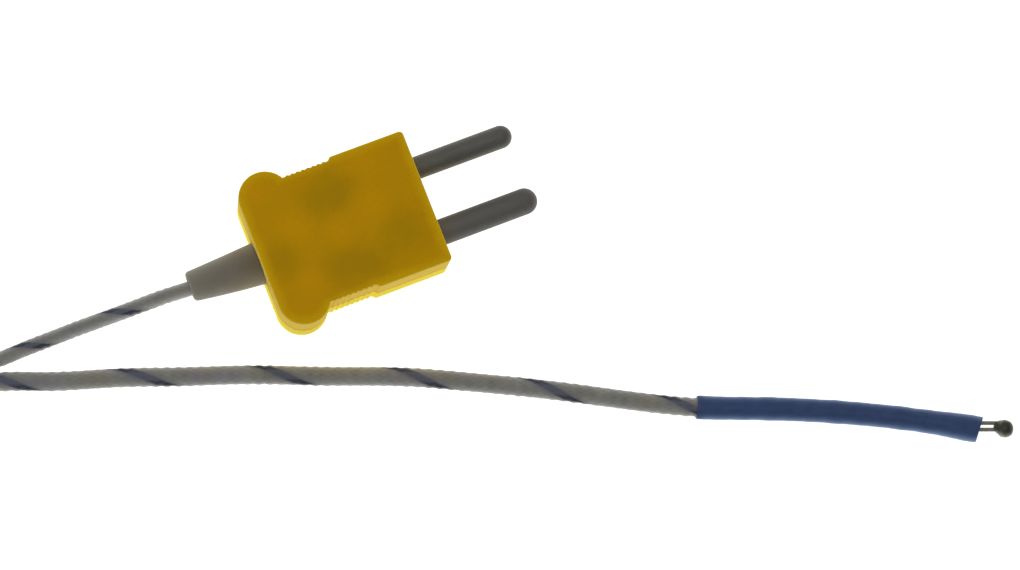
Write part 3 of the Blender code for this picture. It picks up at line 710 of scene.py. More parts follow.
def welded(mesh: bpy.types.Mesh, sharp: float) -> bpy.types.Mesh:
    """Merge doubles, turn the faces outwards and shade smooth between sharp edges.

    Args:
        mesh: The mesh to clean.
        sharp: Angle in degrees past which an edge stays sharp.

    Returns:
        The same mesh.
    """
    shape = bmesh.new()
    shape.from_mesh(mesh)
    bmesh.ops.remove_doubles(shape, verts=shape.verts, dist=0.0002 * MM)
    bmesh.ops.dissolve_degenerate(shape, edges=shape.edges, dist=0.0001 * MM)
    bmesh.ops.recalc_face_normals(shape, faces=shape.faces)
    shape.to_mesh(mesh)
    shape.free()
    mesh.shade_smooth()
    mesh.set_sharp_from_angle(angle=radians(sharp))
    return mesh


def joined(name: str, meshes: Sequence[bpy.types.Mesh]) -> bpy.types.Mesh:
    """Several closed meshes as one.

    Args:
        name: Name of the new mesh.
        meshes: What it is made of; they are removed.

    Returns:
        The joined mesh.
    """
    shape = bmesh.new()
    for mesh in meshes:
        shape.from_mesh(mesh)
    whole = bpy.data.meshes.new(name)
    shape.to_mesh(whole)
    shape.free()
    for mesh in meshes:
        bpy.data.meshes.remove(mesh)
    return whole


def add_piece(mesh: bpy.types.Mesh, material: bpy.types.Material,
              replaces: Sequence[str]) -> bpy.types.Object:
    """Show a finished mesh as a piece of the probe.

    Args:
        mesh: Its mesh, in place; the piece takes its name.
        material: Its finish.
        replaces: CAD nodes that it stands for.

    Returns:
        The piece.
    """
    piece = bpy.data.objects.new(mesh.name, mesh)
    bpy.context.scene.collection.objects.link(piece)
    mesh.materials.clear()
    mesh.materials.append(material)
    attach(piece, "root")
    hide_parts(*replaces)
    triangles = sum(len(face.vertices) - 2 for face in mesh.polygons)
    log.info("%s: %d triangles", piece.name, triangles)
    return piece


def finish_node(node: str, material: bpy.types.Material) -> None:
    """Give a carried-over CAD node its finish.

    Args:
        node: The node's name.
        material: Its finish.
    """
    mesh = frame["nodes"][node].data
    mesh.materials.clear()
    mesh.materials.append(material)
    log.info("%s: carried over with %s", node, material.name)


def unit(vectors: Array) -> Array:
    """Vectors of the same directions, 1 long."""
    return vectors / np.linalg.norm(vectors, axis=-1, keepdims=True)


def arc_lengths(curve: Array) -> Array:
    """Distance along the curve at each sample."""
    return np.concatenate([[0.0], np.cumsum(np.linalg.norm(np.diff(curve, axis=0), axis=1))])


def smooth_curve(knots: Array, step: float) -> Array:
    """Natural cubic spline through the knots.

    The knots' parameter is the length of the chords between them, and the second
    derivatives come from the usual three-term system.

    Args:
        knots: Points to pass through.
        step: Distance between samples.

    Returns:
        Samples along the curve.
    """
    at = arc_lengths(knots)
    gaps = np.diff(at)
    count = len(knots)
    inner = np.arange(1, count - 1)
    system = np.eye(count)
    system[inner, inner - 1] = gaps[:-1]
    system[inner, inner] = 2 * (gaps[:-1] + gaps[1:])
    system[inner, inner + 1] = gaps[1:]
    slopes = np.diff(knots, axis=0) / gaps[:, None]
    target = np.zeros_like(knots)
    target[1:-1] = 6 * np.diff(slopes, axis=0)
    bend = np.linalg.solve(system, target)
    where = np.linspace(0.0, at[-1], int(at[-1] / step) + 1)
    piece = np.clip(np.searchsorted(at, where, side="right") - 1, 0, count - 2)
    gap, after = gaps[piece][:, None], (where - at[piece])[:, None]
    before = gap - after
    return ((bend[piece] * before ** 3 + bend[piece + 1] * after ** 3) / (6 * gap)
            + (knots[piece] / gap - bend[piece] * gap / 6) * before
            + (knots[piece + 1] / gap - bend[piece + 1] * gap / 6) * after)


def sampled(curve: Array, where: Array) -> Array:
    """Points of the curve at the given distances along it."""
    along = arc_lengths(curve)
    return np.column_stack([np.interp(where, along, curve[:, k]) for k in range(3)])


def swept(path: Array, section: Array) -> Array:
    """Carry a section along a path.

    Each point of the section is an offset to the path's left, level with the table, and an
    offset square to that and to the path.

    Args:
        path: Points of the path, N by 3.
        section: N by columns by 2, left and up.

    Returns:
        N by columns by 3.
    """
    ahead = unit(np.gradient(path, axis=0))
    left = unit(np.column_stack([-ahead[:, 1], ahead[:, 0], np.zeros(len(path))]))
    up = np.cross(ahead, left)
    return (path[:, None, :] + section[..., :1] * left[:, None, :]
            + section[..., 1:] * up[:, None, :])


def capped(path: Array, points: Array) -> Array:
    """A swept surface with a pole at each end of its path."""
    first, last = (np.repeat(path[k][None, None], points.shape[1], axis=1) for k in (0, -1))
    return np.concatenate([first, points, last])


def turned(name: str, profile: Array, origin: Sequence[float], columns: int) -> bpy.types.Mesh:
    """Turn a profile about a line along X.

    Args:
        name: Name of the mesh.
        profile: (along, radius) points; a radius of 0 is a pole.
        origin: Where along = 0 lies.
        columns: Steps round the axis.

    Returns:
        The mesh.
    """
    path = np.zeros((len(profile), 3)) + np.asarray(origin)
    path[:, 0] += profile[:, 0]
    angle = np.linspace(0.0, tau, columns, endpoint=False)
    points = np.repeat(path[:, None, :], columns, axis=1)
    points[..., 1] += profile[:, 1:] * np.cos(angle)
    points[..., 2] += profile[:, 1:] * np.sin(angle)
    return mesh_from_grid(name, points)


def arc(centre: Sequence[float], radius: float, start: float, end: float, steps: int) -> Array:
    """Points of a circle's arc.

    Args:
        centre: The circle's middle.
        radius: Its radius.
        start: Angle of the first point, in degrees.
        end: Angle of the last one.
        steps: Chords between them.

    Returns:
        Points, steps + 1 by 2.
    """
    angle = np.radians(np.linspace(start, end, steps + 1))
    return np.column_stack([centre[0] + radius * np.cos(angle),
                            centre[1] + radius * np.sin(angle)])


def carved(name: str, mesh: bpy.types.Mesh, tools: Sequence[bpy.types.Mesh]) -> bpy.types.Mesh:
    """Cut closed tools out of a closed mesh.

    Args:
        name: Name of the result.
        mesh: What is cut; it is removed.
        tools: What is cut away; they are removed.

    Returns:
        The carved mesh.
    """
    blank = bpy.data.objects.new(name, mesh)
    collection = bpy.context.scene.collection.objects
    collection.link(blank)
    cutters = []
    for tool in tools:
        cutter = bpy.data.objects.new(tool.name, tool)
        collection.link(cutter)
        cutters.append(cutter)
        step = blank.modifiers.new(tool.name, "BOOLEAN")
        step.operation = "DIFFERENCE"
        step.solver = "MANIFOLD"
        step.object = cutter
    evaluated = blank.evaluated_get(bpy.context.evaluated_depsgraph_get())
    result = bpy.data.meshes.new_from_object(evaluated)
    for thing in (blank, *cutters):
        old = thing.data
        bpy.data.objects.remove(thing, do_unlink=True)
        bpy.data.meshes.remove(old)
    result.name = name
    return welded(result, 35.0)


def spots(*rows: tuple[float, float, float]) -> Spots:
    """Patches from X, Y and radius in millimetres."""
    return [tuple(value * MM for value in row) for row in rows]


# Where the metal inside shades the thin yellow face, and where nothing does.
SHADES = spots((-2.4, 4.9, 5.6), (1.2, 5.6, 5.0), (-2.2, -6.0, 6.2), (2.2, -6.6, 5.6),
               (9.0, -4.4, 6.4), (-10.8, -2.0, 5.0))
GLOWS = spots((5.0, 1.6, 4.4), (-0.8, -0.6, 4.2), (-7.0, 2.6, 4.6), (-8.0, -6.6, 3.4),
              (-11.5, 10.0, 4.4), (6.5, 9.6, 4.6))


@dataclass
class PlugShells:
    """The two yellow half shells: toothed waist, round ears, rounded rims, holes and cavity."""

    front_width: float = 22.15 * MM
    waist_width: float = 21.1 * MM
    ear_span: float = 25.4 * MM
    ear_radius: float = 4.2 * MM
    corner_radius: float = 0.7 * MM
    shoulder_distance: float = 12.1 * MM
    shoulder_run: float = 0.75 * MM
    teeth: int = 8
    tooth_pitch: float = 0.875 * MM
    tooth_height: float = 0.12 * MM
    tooth_offset: float = 0.72
    tooth_edges: tuple[float, float] = (-0.35, 0.55)
    top_radius: float = 0.35 * MM
    bottom_radius: float = 0.7 * MM
    lip_radius: float = 0.12 * MM
    cavity_front: float = 9.3 * MM
    cavity_back: float = -8.5 * MM
    pocket_half_width: float = 8.45 * MM
    chamber_half_width: float = 4.9 * MM
    spine_half: float = 9.0 * MM
    spine_share: float = 0.9
    pocket_start: tuple[float, float] = (-0.4 * MM, 1.4 * MM)
    ceiling_half: float = 4.0 * MM
    face_wall: float = 1.6 * MM
    pin_bores: tuple[tuple[float, float], ...] = ((5.55 * MM, 2.05 * MM), (-5.55 * MM, 2.325 * MM))
    pin_bore_depth: float = 5.8 * MM
    boot_bore: float = 3.65 * MM
    boot_bore_depth: float = 6.5 * MM
    cut_past: float = 1.0 * MM
    screw_head_bore: float = 2.2 * MM
    screw_head_depth: float = 1.92 * MM
    # Side colours: the plastic's own with painted glow; glows: emission that paints the table's light
    # through the sides.
    upper_side_and_glow: Colour = (0.94, 0.67, 0.10)
    upper_glow: Colour = (0.02, 0.015, 0.0)
    lower_side_and_glow: Colour = (0.98, 0.82, 0.05)
    lower_glow: Colour = (0.12, 0.09, 0.02)

    def __post_init__(self) -> None:
        """Take the plug's length and heights from the frame."""
        low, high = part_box("plug_base")
        self.front, self.rear = high.x, low.x
        self.bottom, self.base_lip = low.z, high.z
        low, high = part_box("plug_cap")
        self.cap_lip, self.top = low.z, high.z
        self.parting = (self.base_lip + self.cap_lip) / 2
        self.ear_middle = (self.rear + self.ear_radius, self.ear_span / 2 - self.ear_radius)

    def outline(self, inset: float) -> Array:
        """Plan of the shell drawn in by the inset, as a closed loop from the front's middle.

        The half with y > 0 is: the straight front, a corner arc, the straight side, an eased
        shoulder, the waist with rounded teeth, the ear's arc and the straight rear. The other
        half is its mirror image, so both halves share every x.

        Args:
            inset: Distance inside the outer outline.

        Returns:
            Points, N by 2.
        """
        corner = max(self.corner_radius - inset, 0.05 * MM)
        middle = (self.front - inset - corner, self.front_width / 2 - inset - corner)
        straight = np.column_stack([np.full(16, self.front - inset),
                                    np.linspace(0.0, middle[1], 16, endpoint=False)])
        turn = arc(middle, corner, 0.0, 90.0, 14)
        shoulder = self.front - self.shoulder_distance
        side_x = np.linspace(middle[0], shoulder, 30)[1:]
        side = np.column_stack([side_x, np.full(29, self.front_width / 2 - inset)])
        drop = np.linspace(0.0, 1.0, 13)[1:]
        fall = (self.front_width - self.waist_width) / 2
        step = np.column_stack([shoulder - drop * self.shoulder_run,
                                self.front_width / 2 - inset - fall * ease(drop, 0.0, 1.0)])
        ear_x, ear_y = self.ear_middle
        radius = self.ear_radius - inset
        waist = self.waist_width / 2 - inset
        first = np.degrees(np.arcsin((waist - ear_y) / radius))
        start = shoulder - self.shoulder_run
        end = ear_x + radius * cos(radians(first))
        waist_x = np.linspace(start, end, self.teeth * 14 + 14)[1:-1]
        phase = (start - waist_x) / self.tooth_pitch - self.tooth_offset
        tooth = ease(np.cos(tau * phase), *self.tooth_edges)
        tooth = tooth * (phase > -0.5) * (phase < self.teeth - 0.5)
        ribs = np.column_stack([waist_x, waist + self.tooth_height * tooth])
        ear = arc((ear_x, ear_y), radius, first, 180.0, 60)
        back = np.column_stack([np.full(24, self.rear + inset), np.linspace(ear_y, 0.0, 25)[1:]])
        half = np.vstack([straight, turn, side, step, ribs, ear, back])
        return np.vstack([half, (half * (1.0, -1.0))[-2:0:-1]])

    def cavity_outline(self) -> Array:
        """The outer loop's points moved on to the cavity's wall, which is narrower behind.

        Returns:
            Points, as many as the outer loop has.
        """
        x, y = self.outline(0.0).T
        x = np.clip(x, self.cavity_back, self.cavity_front)
        grow = ease(x, *self.pocket_start)
        reach = self.chamber_half_width + grow * (self.pocket_half_width
                                                   - self.chamber_half_width)
        return np.column_stack([x, np.clip(y, -reach, reach)])

    def half(self, name: str, face: float, lip: float, rim: float) -> bpy.types.Mesh:
        """One closed half shell.

        Rows run from the face's middle line out to its rim, round the rim's arc, down the
        side, over the lip's small arcs, and back up the cavity's wall to its ceiling's middle.

        Args:
            name: Name of the mesh.
            face: Height of the outer face.
            lip: Height of the parting face.
            rim: Radius of the outer face's edge.

        Returns:
            The mesh.
        """
        sign = 1.0 if face > lip else -1.0
        levels = []
        edge = self.outline(rim)
        along = np.clip(edge[:, 0], -self.spine_half, self.spine_half) * self.spine_share
        spine = np.column_stack([along, np.zeros(len(edge))])
        for share in np.linspace(1.0, 0.0, 9)[:-1]:
            levels.append((edge + (spine - edge) * share, face))
        for angle in np.radians(np.linspace(90.0, 0.0, 10)):
            levels.append((self.outline(rim * (1 - cos(angle))),
                           face - sign * rim * (1 - sin(angle))))
        for share in np.linspace(0.0, 1.0, 7)[1:]:
            z = (face - sign * rim) * (1 - share) + (lip + sign * self.lip_radius) * share
            levels.append((self.outline(0.0), z))
        for angle in np.radians(np.linspace(0.0, 90.0, 5))[1:]:
            levels.append((self.outline(self.lip_radius * (1 - cos(angle))),
                           lip + sign * self.lip_radius * (1 - sin(angle))))
        inner = self.cavity_outline()
        ceiling = face - sign * self.face_wall
        along = np.clip(inner[:, 0], -self.ceiling_half, self.ceiling_half)
        hollow = np.column_stack([along, np.zeros(len(inner))])
        levels += [(inner, lip), (inner, ceiling), (hollow, ceiling)]
        points = np.stack([np.column_stack([plan, np.full(len(plan), z)]) for plan, z in levels])
        return mesh_from_grid(name, points, sharp=35.0)

    def rod(self, name: str, place: tuple[float, float], reach: tuple[float, float],
            radius: float) -> bpy.types.Mesh:
        """A closed rod along X, on the parting line.

        Args:
            name: Name of the mesh.
            place: X that its reach is counted from, and Y.
            reach: Its two ends.
            radius: Its radius.

        Returns:
            The mesh.
        """
        start, end = reach
        profile = np.array([(start, 0.0), (start, radius), (end, radius), (end, 0.0)])
        return turned(name, profile, (*place, self.parting), 64)

    def holes(self) -> list[bpy.types.Mesh]:
        """Tools that open the pins' bores and the boot's hole.

        Returns:
            The tools.
        """
        bores = [self.rod(f"bore_{k}", (self.front, y), (-self.pin_bore_depth, self.cut_past), radius)
                 for k, (y, radius) in enumerate(self.pin_bores)]
        return [*bores, self.rod("boot_hole", (self.rear, 0.0),
                                 (-self.cut_past, self.boot_bore_depth), self.boot_bore)]

    def head_seats(self) -> list[bpy.types.Mesh]:
        """Tools that sink the two screw heads into the underside.

        Returns:
            The tools.
        """
        ear_x, ear_y = self.ear_middle
        height = np.array([-self.cut_past, -self.cut_past, self.screw_head_depth,
                           self.screw_head_depth])[:, None]
        radius = np.array([0.0, self.screw_head_bore, self.screw_head_bore, 0.0])[:, None]
        angle = np.linspace(0.0, tau, 48, endpoint=False)
        tools = []
        for pole in Pole:
            x = ear_x + radius * np.cos(angle)
            y = pole.side * ear_y + radius * np.sin(angle)
            points = np.stack([x, y, np.broadcast_to(height, x.shape)], axis=-1)
            tools.append(mesh_from_grid(f"seat_{pole.value}", points))
        return tools

    def build(self) -> None:
        """Both halves, carved and dressed."""
        place = (self.front, self.front_width / 2, (*self.ear_middle, self.ear_radius),
                 self.parting)
        upper = ShellPlastic(*place, self.upper_side_and_glow, self.upper_glow, shades=SHADES, glows=GLOWS)
        lower = ShellPlastic(*place, self.lower_side_and_glow, self.lower_glow)
        cap = self.half("upper_shell", self.top, self.cap_lip, self.top_radius)
        cap = carved("upper_shell", cap, self.holes())
        add_piece(cap, upper.material("yellow_upper_plastic"), ["plug_cap"])
        base = self.half("lower_shell", self.bottom, self.base_lip, self.bottom_radius)
        base = carved("lower_shell", base, self.holes() + self.head_seats())
        add_piece(base, lower.material("yellow_lower_plastic"), ["plug_base"])


@dataclass
class ContactPins:
    """The thin positive and the thick negative pin, each with its collar and terminal block."""

    pitch: float = 11.1 * MM
    radii: tuple[float, float] = (1.85 * MM, 2.125 * MM)
    finishes: tuple[TurnedAlloy, TurnedAlloy] = (
        TurnedAlloy(),
        TurnedAlloy(body=(0.235, 0.23, 0.21), painted_top_tone=(0.24, 0.234, 0.222), roughness=0.7))
    collar_height: float = 0.7 * MM
    collar_back: float = -3.4 * MM
    collar_front: float = -2.0 * MM
    collar_edge: float = 0.15 * MM
    chamfer: float = 0.18 * MM
    block_half: tuple[float, float, float] = (3.0 * MM, 2.7 * MM, 1.65 * MM)
    block_edge: float = 0.25 * MM
    block_hole: float = 1.12 * MM
    shaft_in_block: float = 0.6 * MM

    def profile(self, radius: float, reach: float, inner: float) -> Array:
        """Half section from the inner end, over the collar, to the round tip.

        Args:
            radius: The shaft's radius.
            reach: How far the tip stands before the plug's front.
            inner: Place of the inner end, counted from the front.

        Returns:
            (along, radius) points.
        """
        collar = radius + self.collar_height
        soft = self.collar_edge
        back = np.array([(inner, 0.0), (inner, radius - self.chamfer),
                         (inner + self.chamfer, radius), (self.collar_back, radius),
                         (self.collar_back, collar - soft), (self.collar_back + soft, collar),
                         (self.collar_front - soft, collar), (self.collar_front, collar - soft),
                         (self.collar_front, radius)])
        shaft = np.column_stack([np.linspace(0.0, reach - radius, 12), np.full(12, radius)])
        dome = arc((reach - radius, 0.0), radius, 90.0, 0.0, 24)[1:]
        dome[-1, 1] = 0.0
        return np.vstack([back, shaft, dome])

    def block(self, name: str, middle: tuple[float, float, float]) -> bpy.types.Mesh:
        """The terminal block: a rounded box round the screw's hole.

        Args:
            name: Name of the mesh.
            middle: Its middle.

        Returns:
            A ring-shaped closed mesh whose plan is a superellipse of the tenth power.
        """
        half_x, half_y, top = self.block_half
        angle = np.linspace(0.0, tau, 72, endpoint=False)
        power = (np.abs(np.cos(angle)) ** 10 + np.abs(np.sin(angle)) ** 10) ** -0.1
        wide = np.column_stack([half_x * power * np.cos(angle), half_y * power * np.sin(angle)])
        bore = self.block_hole * np.column_stack([np.cos(angle), np.sin(angle)])
        side = top - self.block_edge
        narrow = wide * (1.0 - self.block_edge / half_y)
        rows = [(bore, -top), (narrow, -top), (wide, -side), (wide, side), (narrow, top),
                (bore, top)]
        points = np.stack([np.column_stack([plan, np.full(72, z)]) for plan, z in rows])
        return mesh_from_grid(name, points + np.asarray(middle), wrap_rows=True)

    def build(self) -> None:
        """Both pins."""
        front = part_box("plug_cap")[1].x
        for pole, radius, finish in zip(Pole, self.radii, self.finishes):
            label = pole.value
            low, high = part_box(f"pin_{label}")
            side, mid = pole.side * self.pitch / 2, (low.z + high.z) / 2
            half = self.block_half[0]
            inner = low.x + 2 * half - self.shaft_in_block - front
            shaft = turned(f"shaft_{label}", self.profile(radius, high.x - front, inner),
                           (front, side, mid), 96)
            block = self.block(f"block_{label}", (low.x + half, side, mid))
            mesh = joined(f"contact_pin_{label}", [shaft, block])
            add_piece(mesh, finish.material(f"turned_{label}_alloy"),
                      [f"pin_{label}"])


@dataclass
class StrainBoot:
    """Tapered rubber boot, a little bent towards the cable's rest, with its flange inside."""

    plug_radius: float = 3.45 * MM
    mouth_radius: float = 2.475 * MM
    rim: float = 0.65 * MM
    bore: float = 1.62 * MM
    bore_depth: float = 1.0 * MM
    bend: float = 0.3 * MM
    swell: float = 0.03 * MM
    columns: int = 96
    flange_radius: float = 4.45 * MM
    flange_front: float = 3.1 * MM
    flange_back: float = 1.8 * MM

    def build(self) -> None:
        """The boot: taper, rounded mouth, bore and flange, as one turned ring that bends."""
        low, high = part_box("boot")
        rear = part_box("plug_cap")[0].x
        mid = (low.z + high.z) / 2
        length = rear - low.x
        taper = np.linspace(0.0, 1.0, 40)
        swell = self.swell * np.sin(pi * taper)
        radius = self.plug_radius + (self.mouth_radius - self.plug_radius) * taper + swell
        skin = np.column_stack([taper * (length - self.rim), radius])
        edge = arc((length - self.rim, radius[-1] - self.rim), self.rim, 90.0, -60.0, 14)
        inside = np.array([(length - self.bore_depth, self.bore), (-self.flange_front, self.bore)])
        flange = np.array([(-self.flange_front, self.flange_radius),
                           (-self.flange_back, self.flange_radius),
                           (-self.flange_back, self.plug_radius)])
        profile = np.vstack([skin, edge[1:], inside, flange])
        angle = np.linspace(0.0, tau, self.columns, endpoint=False)
        share = np.clip(profile[:, 0] / length, 0.0, 1.0)[:, None]
        x = np.broadcast_to(rear - profile[:, :1], (len(profile), self.columns))
        y = profile[:, 1:] * np.cos(angle) + self.bend * share ** 2
        z = mid + profile[:, 1:] * np.sin(angle)
        mesh = mesh_from_grid("strain_boot", np.stack([x, y, z], axis=-1), wrap_rows=True)
        rubber = BootRubber(low.x, rear).material("grey_boot_rubber")
        add_piece(mesh, rubber, ["boot"])


# Points of the cord's centreline in millimetres: boot to coil, and coil to probe.
PLUG_ROUTE = [
    (-25.9, 0.08, 6.35), (-29.0, 0.26, 6.27), (-33.42, 0.36, 5.85), (-38.31, 0.47, 5.0),
    (-43.67, 0.7, 3.75), (-49.02, 0.82, 2.5), (-53.42, 0.83, 1.8), (-57.13, 0.75, 1.45),
    (-60.23, 1.21, 1.4), (-62.9, 2.83, 1.4), (-64.73, 5.36, 1.4), (-66.94, 10.16, 1.55),
    (-69.15, 14.9, 1.85), (-71.39, 19.75, 2.25),
]
PROBE_ROUTE = [
    (-82.51, -10.52, 4.6), (-76.99, -7.93, 4.2), (-71.48, -5.38, 3.2), (-66.05, -2.88, 2.1),
    (-62.27, -1.96, 1.6), (-58.42, -2.59, 1.4), (-50.83, -5.41, 1.4), (-41.52, -8.39, 1.4),
    (-32.25, -11.7, 1.4), (-21.07, -15.63, 1.4), (-10.04, -20.08, 1.4), (1.09, -24.44, 1.4),
    (11.97, -29.58, 1.4), (22.79, -35.03, 1.4), (33.51, -40.84, 1.5), (43.77, -46.07, 1.85),
    (53.13, -49.88, 1.9), (62.12, -53.72, 1.9), (71.01, -57.96, 1.9), (79.74, -62.65, 2.05),
    (85.27, -65.87, 2.12),
]


@dataclass
class CableRoute:
    """The whole cable's centreline: boot to coil, the coil's turns, and coil to tip."""

    coil_centre: tuple[float, float] = (-92.08 * MM, 10.17 * MM)
    coil_radius: float = 22.8 * MM
    coil_entry: float = 24.84
    turns_per_layer: float = 3.375
    turn_pitch: float = 2.95 * MM
    layer_heights: tuple[float, float] = (2.18 * MM, 4.56 * MM)
    knots_per_turn: int = 36
    layer_change: float = 0.22
    in_boot: float = 5.0 * MM
    step: float = 0.1 * MM

    def coil(self) -> Array:
        """Knots of the coil: a spiral inwards, then one outwards on top of it.

        Returns:
            Points, N by 3.
        """
        last = 2 * self.turns_per_layer
        turn = np.linspace(0.0, last, int(last * self.knots_per_turn) + 1)[1:-1]
        inwards = self.turns_per_layer - np.abs(turn - self.turns_per_layer)
        radius = self.coil_radius - self.turn_pitch * inwards
        angle = np.radians(self.coil_entry) + tau * turn
        low, high = self.layer_heights
        rise = ease(turn, self.turns_per_layer - self.layer_change,
                    self.turns_per_layer + self.layer_change)
        return np.column_stack([self.coil_centre[0] + radius * np.cos(angle),
                                self.coil_centre[1] + radius * np.sin(angle),
                                low + (high - low) * rise])

    def curve(self) -> Array:
        """Fine samples of the whole centreline, from inside the boot.

        Returns:
            Points, N by 3.
        """
        plug, probe = np.array(PLUG_ROUTE) * MM, np.array(PROBE_ROUTE) * MM
        start = plug[0] + np.array([self.in_boot, 0.0, 0.0])
        knots = np.vstack([start, plug, self.coil(), probe])
        return smooth_curve(knots, self.step)


@dataclass
class BraidedCable:
    """Oval braided pair, on edge where it leaves the boot and flat from the coil onwards."""

    route: CableRoute
    half_width: float = 1.47 * MM
    half_height: float = 1.14 * MM
    yarns: int = 12
    lay: float = 21.7 * MM
    boot_lay: float = 15.3 * MM
    relief: float = 0.13 * MM
    swell: float = 0.17 * MM
    columns: int = 64
    fine_step: float = 0.3 * MM
    coil_step: float = 0.95 * MM
    sleeve_length: float = 46.3 * MM
    in_sleeve: float = 32.0 * MM
    sleeve_rows: int = 30
    past_mouth: float = 2.0 * MM
    seen_by_plug: float = 66.0 * MM
    seen_by_probe: float = 128.0 * MM
    turns_flat: tuple[float, float] = (62.0 * MM, 95.0 * MM)
    relief_fades: tuple[float, float] = (60.0 * MM, 75.0 * MM)
    relief_returns: tuple[float, float] = (170.0 * MM, 150.0 * MM)
    coil_relief: float = 0.25
    route_height: float = 1.4 * MM
    lifts_off: tuple[float, float] = (1.5 * MM, 2.2 * MM)
    table_gap: float = 0.05 * MM
    plug_phase: float = -0.041
    probe_phase: float = 5.241

    def rows(self, curve: Array) -> Array:
        """Distances of the rings: close where the picture shows the cable, wider in the coil.

        Args:
            curve: The centreline.

        Returns:
            The distances along it.
        """
        sleeve = arc_lengths(curve)[-1] - self.sleeve_length
        coil_end = sleeve - self.seen_by_probe
        return np.concatenate([
            np.arange(0.0, self.seen_by_plug, self.fine_step),
            np.arange(self.seen_by_plug, coil_end, self.coil_step),
            np.arange(coil_end, sleeve + self.past_mouth, self.fine_step),
            np.linspace(sleeve + self.past_mouth, sleeve + self.in_sleeve, self.sleeve_rows)])

    def roll(self, where: Array) -> Array:
        """Turn of the oval about the centreline: 90 degrees by the boot, 0 from the coil on."""
        return pi / 2 * (1.0 - ease(where, *self.turns_flat))

    def phase(self, where: Array) -> Array:
        """Angle of a yarn round the cable: it turns faster by the boot than further on.

        Args:
            where: Distances along the cable.

        Returns:
            The angle at each of them.
        """
        slow, quick = tau / self.lay, tau / self.boot_lay
        near = 1.0 - ease(where, *self.turns_flat)
        rate = slow + (quick - slow) * near
        steps = np.diff(where, prepend=where[0])
        change = (self.probe_phase - self.plug_phase) * (1.0 - near)
        return np.cumsum(rate * steps) + self.plug_phase + change

    def yarn_map(self, where: Array) -> Array:
        """Yarns counted along the helix and around the cable: the braid's UV map.

        Args:
            where: Distances along the cable.

        Returns:
            N by columns + 1 by 2.
        """
        angle = np.linspace(0.0, tau, self.columns + 1)
        along = (self.phase(where) * self.yarns / tau)[:, None]
        return np.stack(np.broadcast_arrays(along, angle * self.yarns / tau), axis=-1)

    def lift(self, where: Array, uv: Array) -> Array:
        """Rise of the surface: a pillow at each crossing of yarns, and uneven rings of swell.

        Both are strong where the picture shows the cable and weak in the coil.

        Args:
            where: Distances along the cable.
            uv: The yarn map there.

        Returns:
            N by columns.
        """
        along, around = uv[:, :-1, 0], uv[:, :-1, 1]
        pillow = np.sqrt(np.abs(np.sin(pi * (along - around)) * np.sin(pi * (along + around))))
        changes = [*self.relief_fades, *(where[-1] - back for back in self.relief_returns)]
        shown = np.interp(where, changes, [1.0, self.coil_relief, self.coil_relief, 1.0])[:, None]
        row = along[:, :1]
        uneven = 0.65 + 0.35 * np.sin(0.83 * row + 1.7 * np.sin(0.29 * row))
        rings = np.abs(np.sin(pi * row)) ** 0.7 - 0.6
        return self.relief * shown * (pillow - 0.6) + self.swell * shown * uneven * rings

    def upward(self, roll: Array, angle: Array) -> Array:
        """How squarely the oval's surface faces up: 1 on top and underneath, 0 at its sides.

        Args:
            roll: Turn of the oval, N by 1.
            angle: Angles round it.

        Returns:
            N by as many as there are angles.
        """
        across, along = np.cos(angle) / self.half_width, np.sin(angle) / self.half_height
        return np.abs(across * np.sin(roll) + along * np.cos(roll)) / np.hypot(across, along)

    def build(self) -> None:
        """The cable as one mesh with the braid's finish."""
        curve = self.route.curve()
        where = self.rows(curve)
        path = sampled(curve, where)
        roll = self.roll(where)[:, None]
        tall = np.hypot(self.half_width * np.sin(roll), self.half_height * np.cos(roll))
        lying = 1.0 - ease(path[:, 2:], *self.lifts_off)
        path[:, 2:] += lying * (tall + self.table_gap - self.route_height)
        angle = np.linspace(0.0, tau, self.columns + 1)[:-1]
        uv = self.yarn_map(where)
        lift = self.lift(where, uv)
        wide = (self.half_width + lift) * np.cos(angle)
        high = (self.half_height + lift) * np.sin(angle)
        section = np.stack([wide * np.cos(roll) - high * np.sin(roll),
                            wide * np.sin(roll) + high * np.cos(roll)], axis=-1)
        upward = self.upward(roll, angle)
        uv, upward = (np.concatenate([rows[:1], rows, rows[-1:]]) for rows in (uv, upward))
        mesh = mesh_from_grid("braided_cable", capped(path, swept(path, section)), uv=uv,
                              sharp=60.0, upward=upward)
        piece = add_piece(mesh, GlassBraid(self.yarns).material("glass_braid"),
                          ["cable_in_boot", "cable_plug_stretch", "cable_coil",
                           "cable_probe_stretch"])


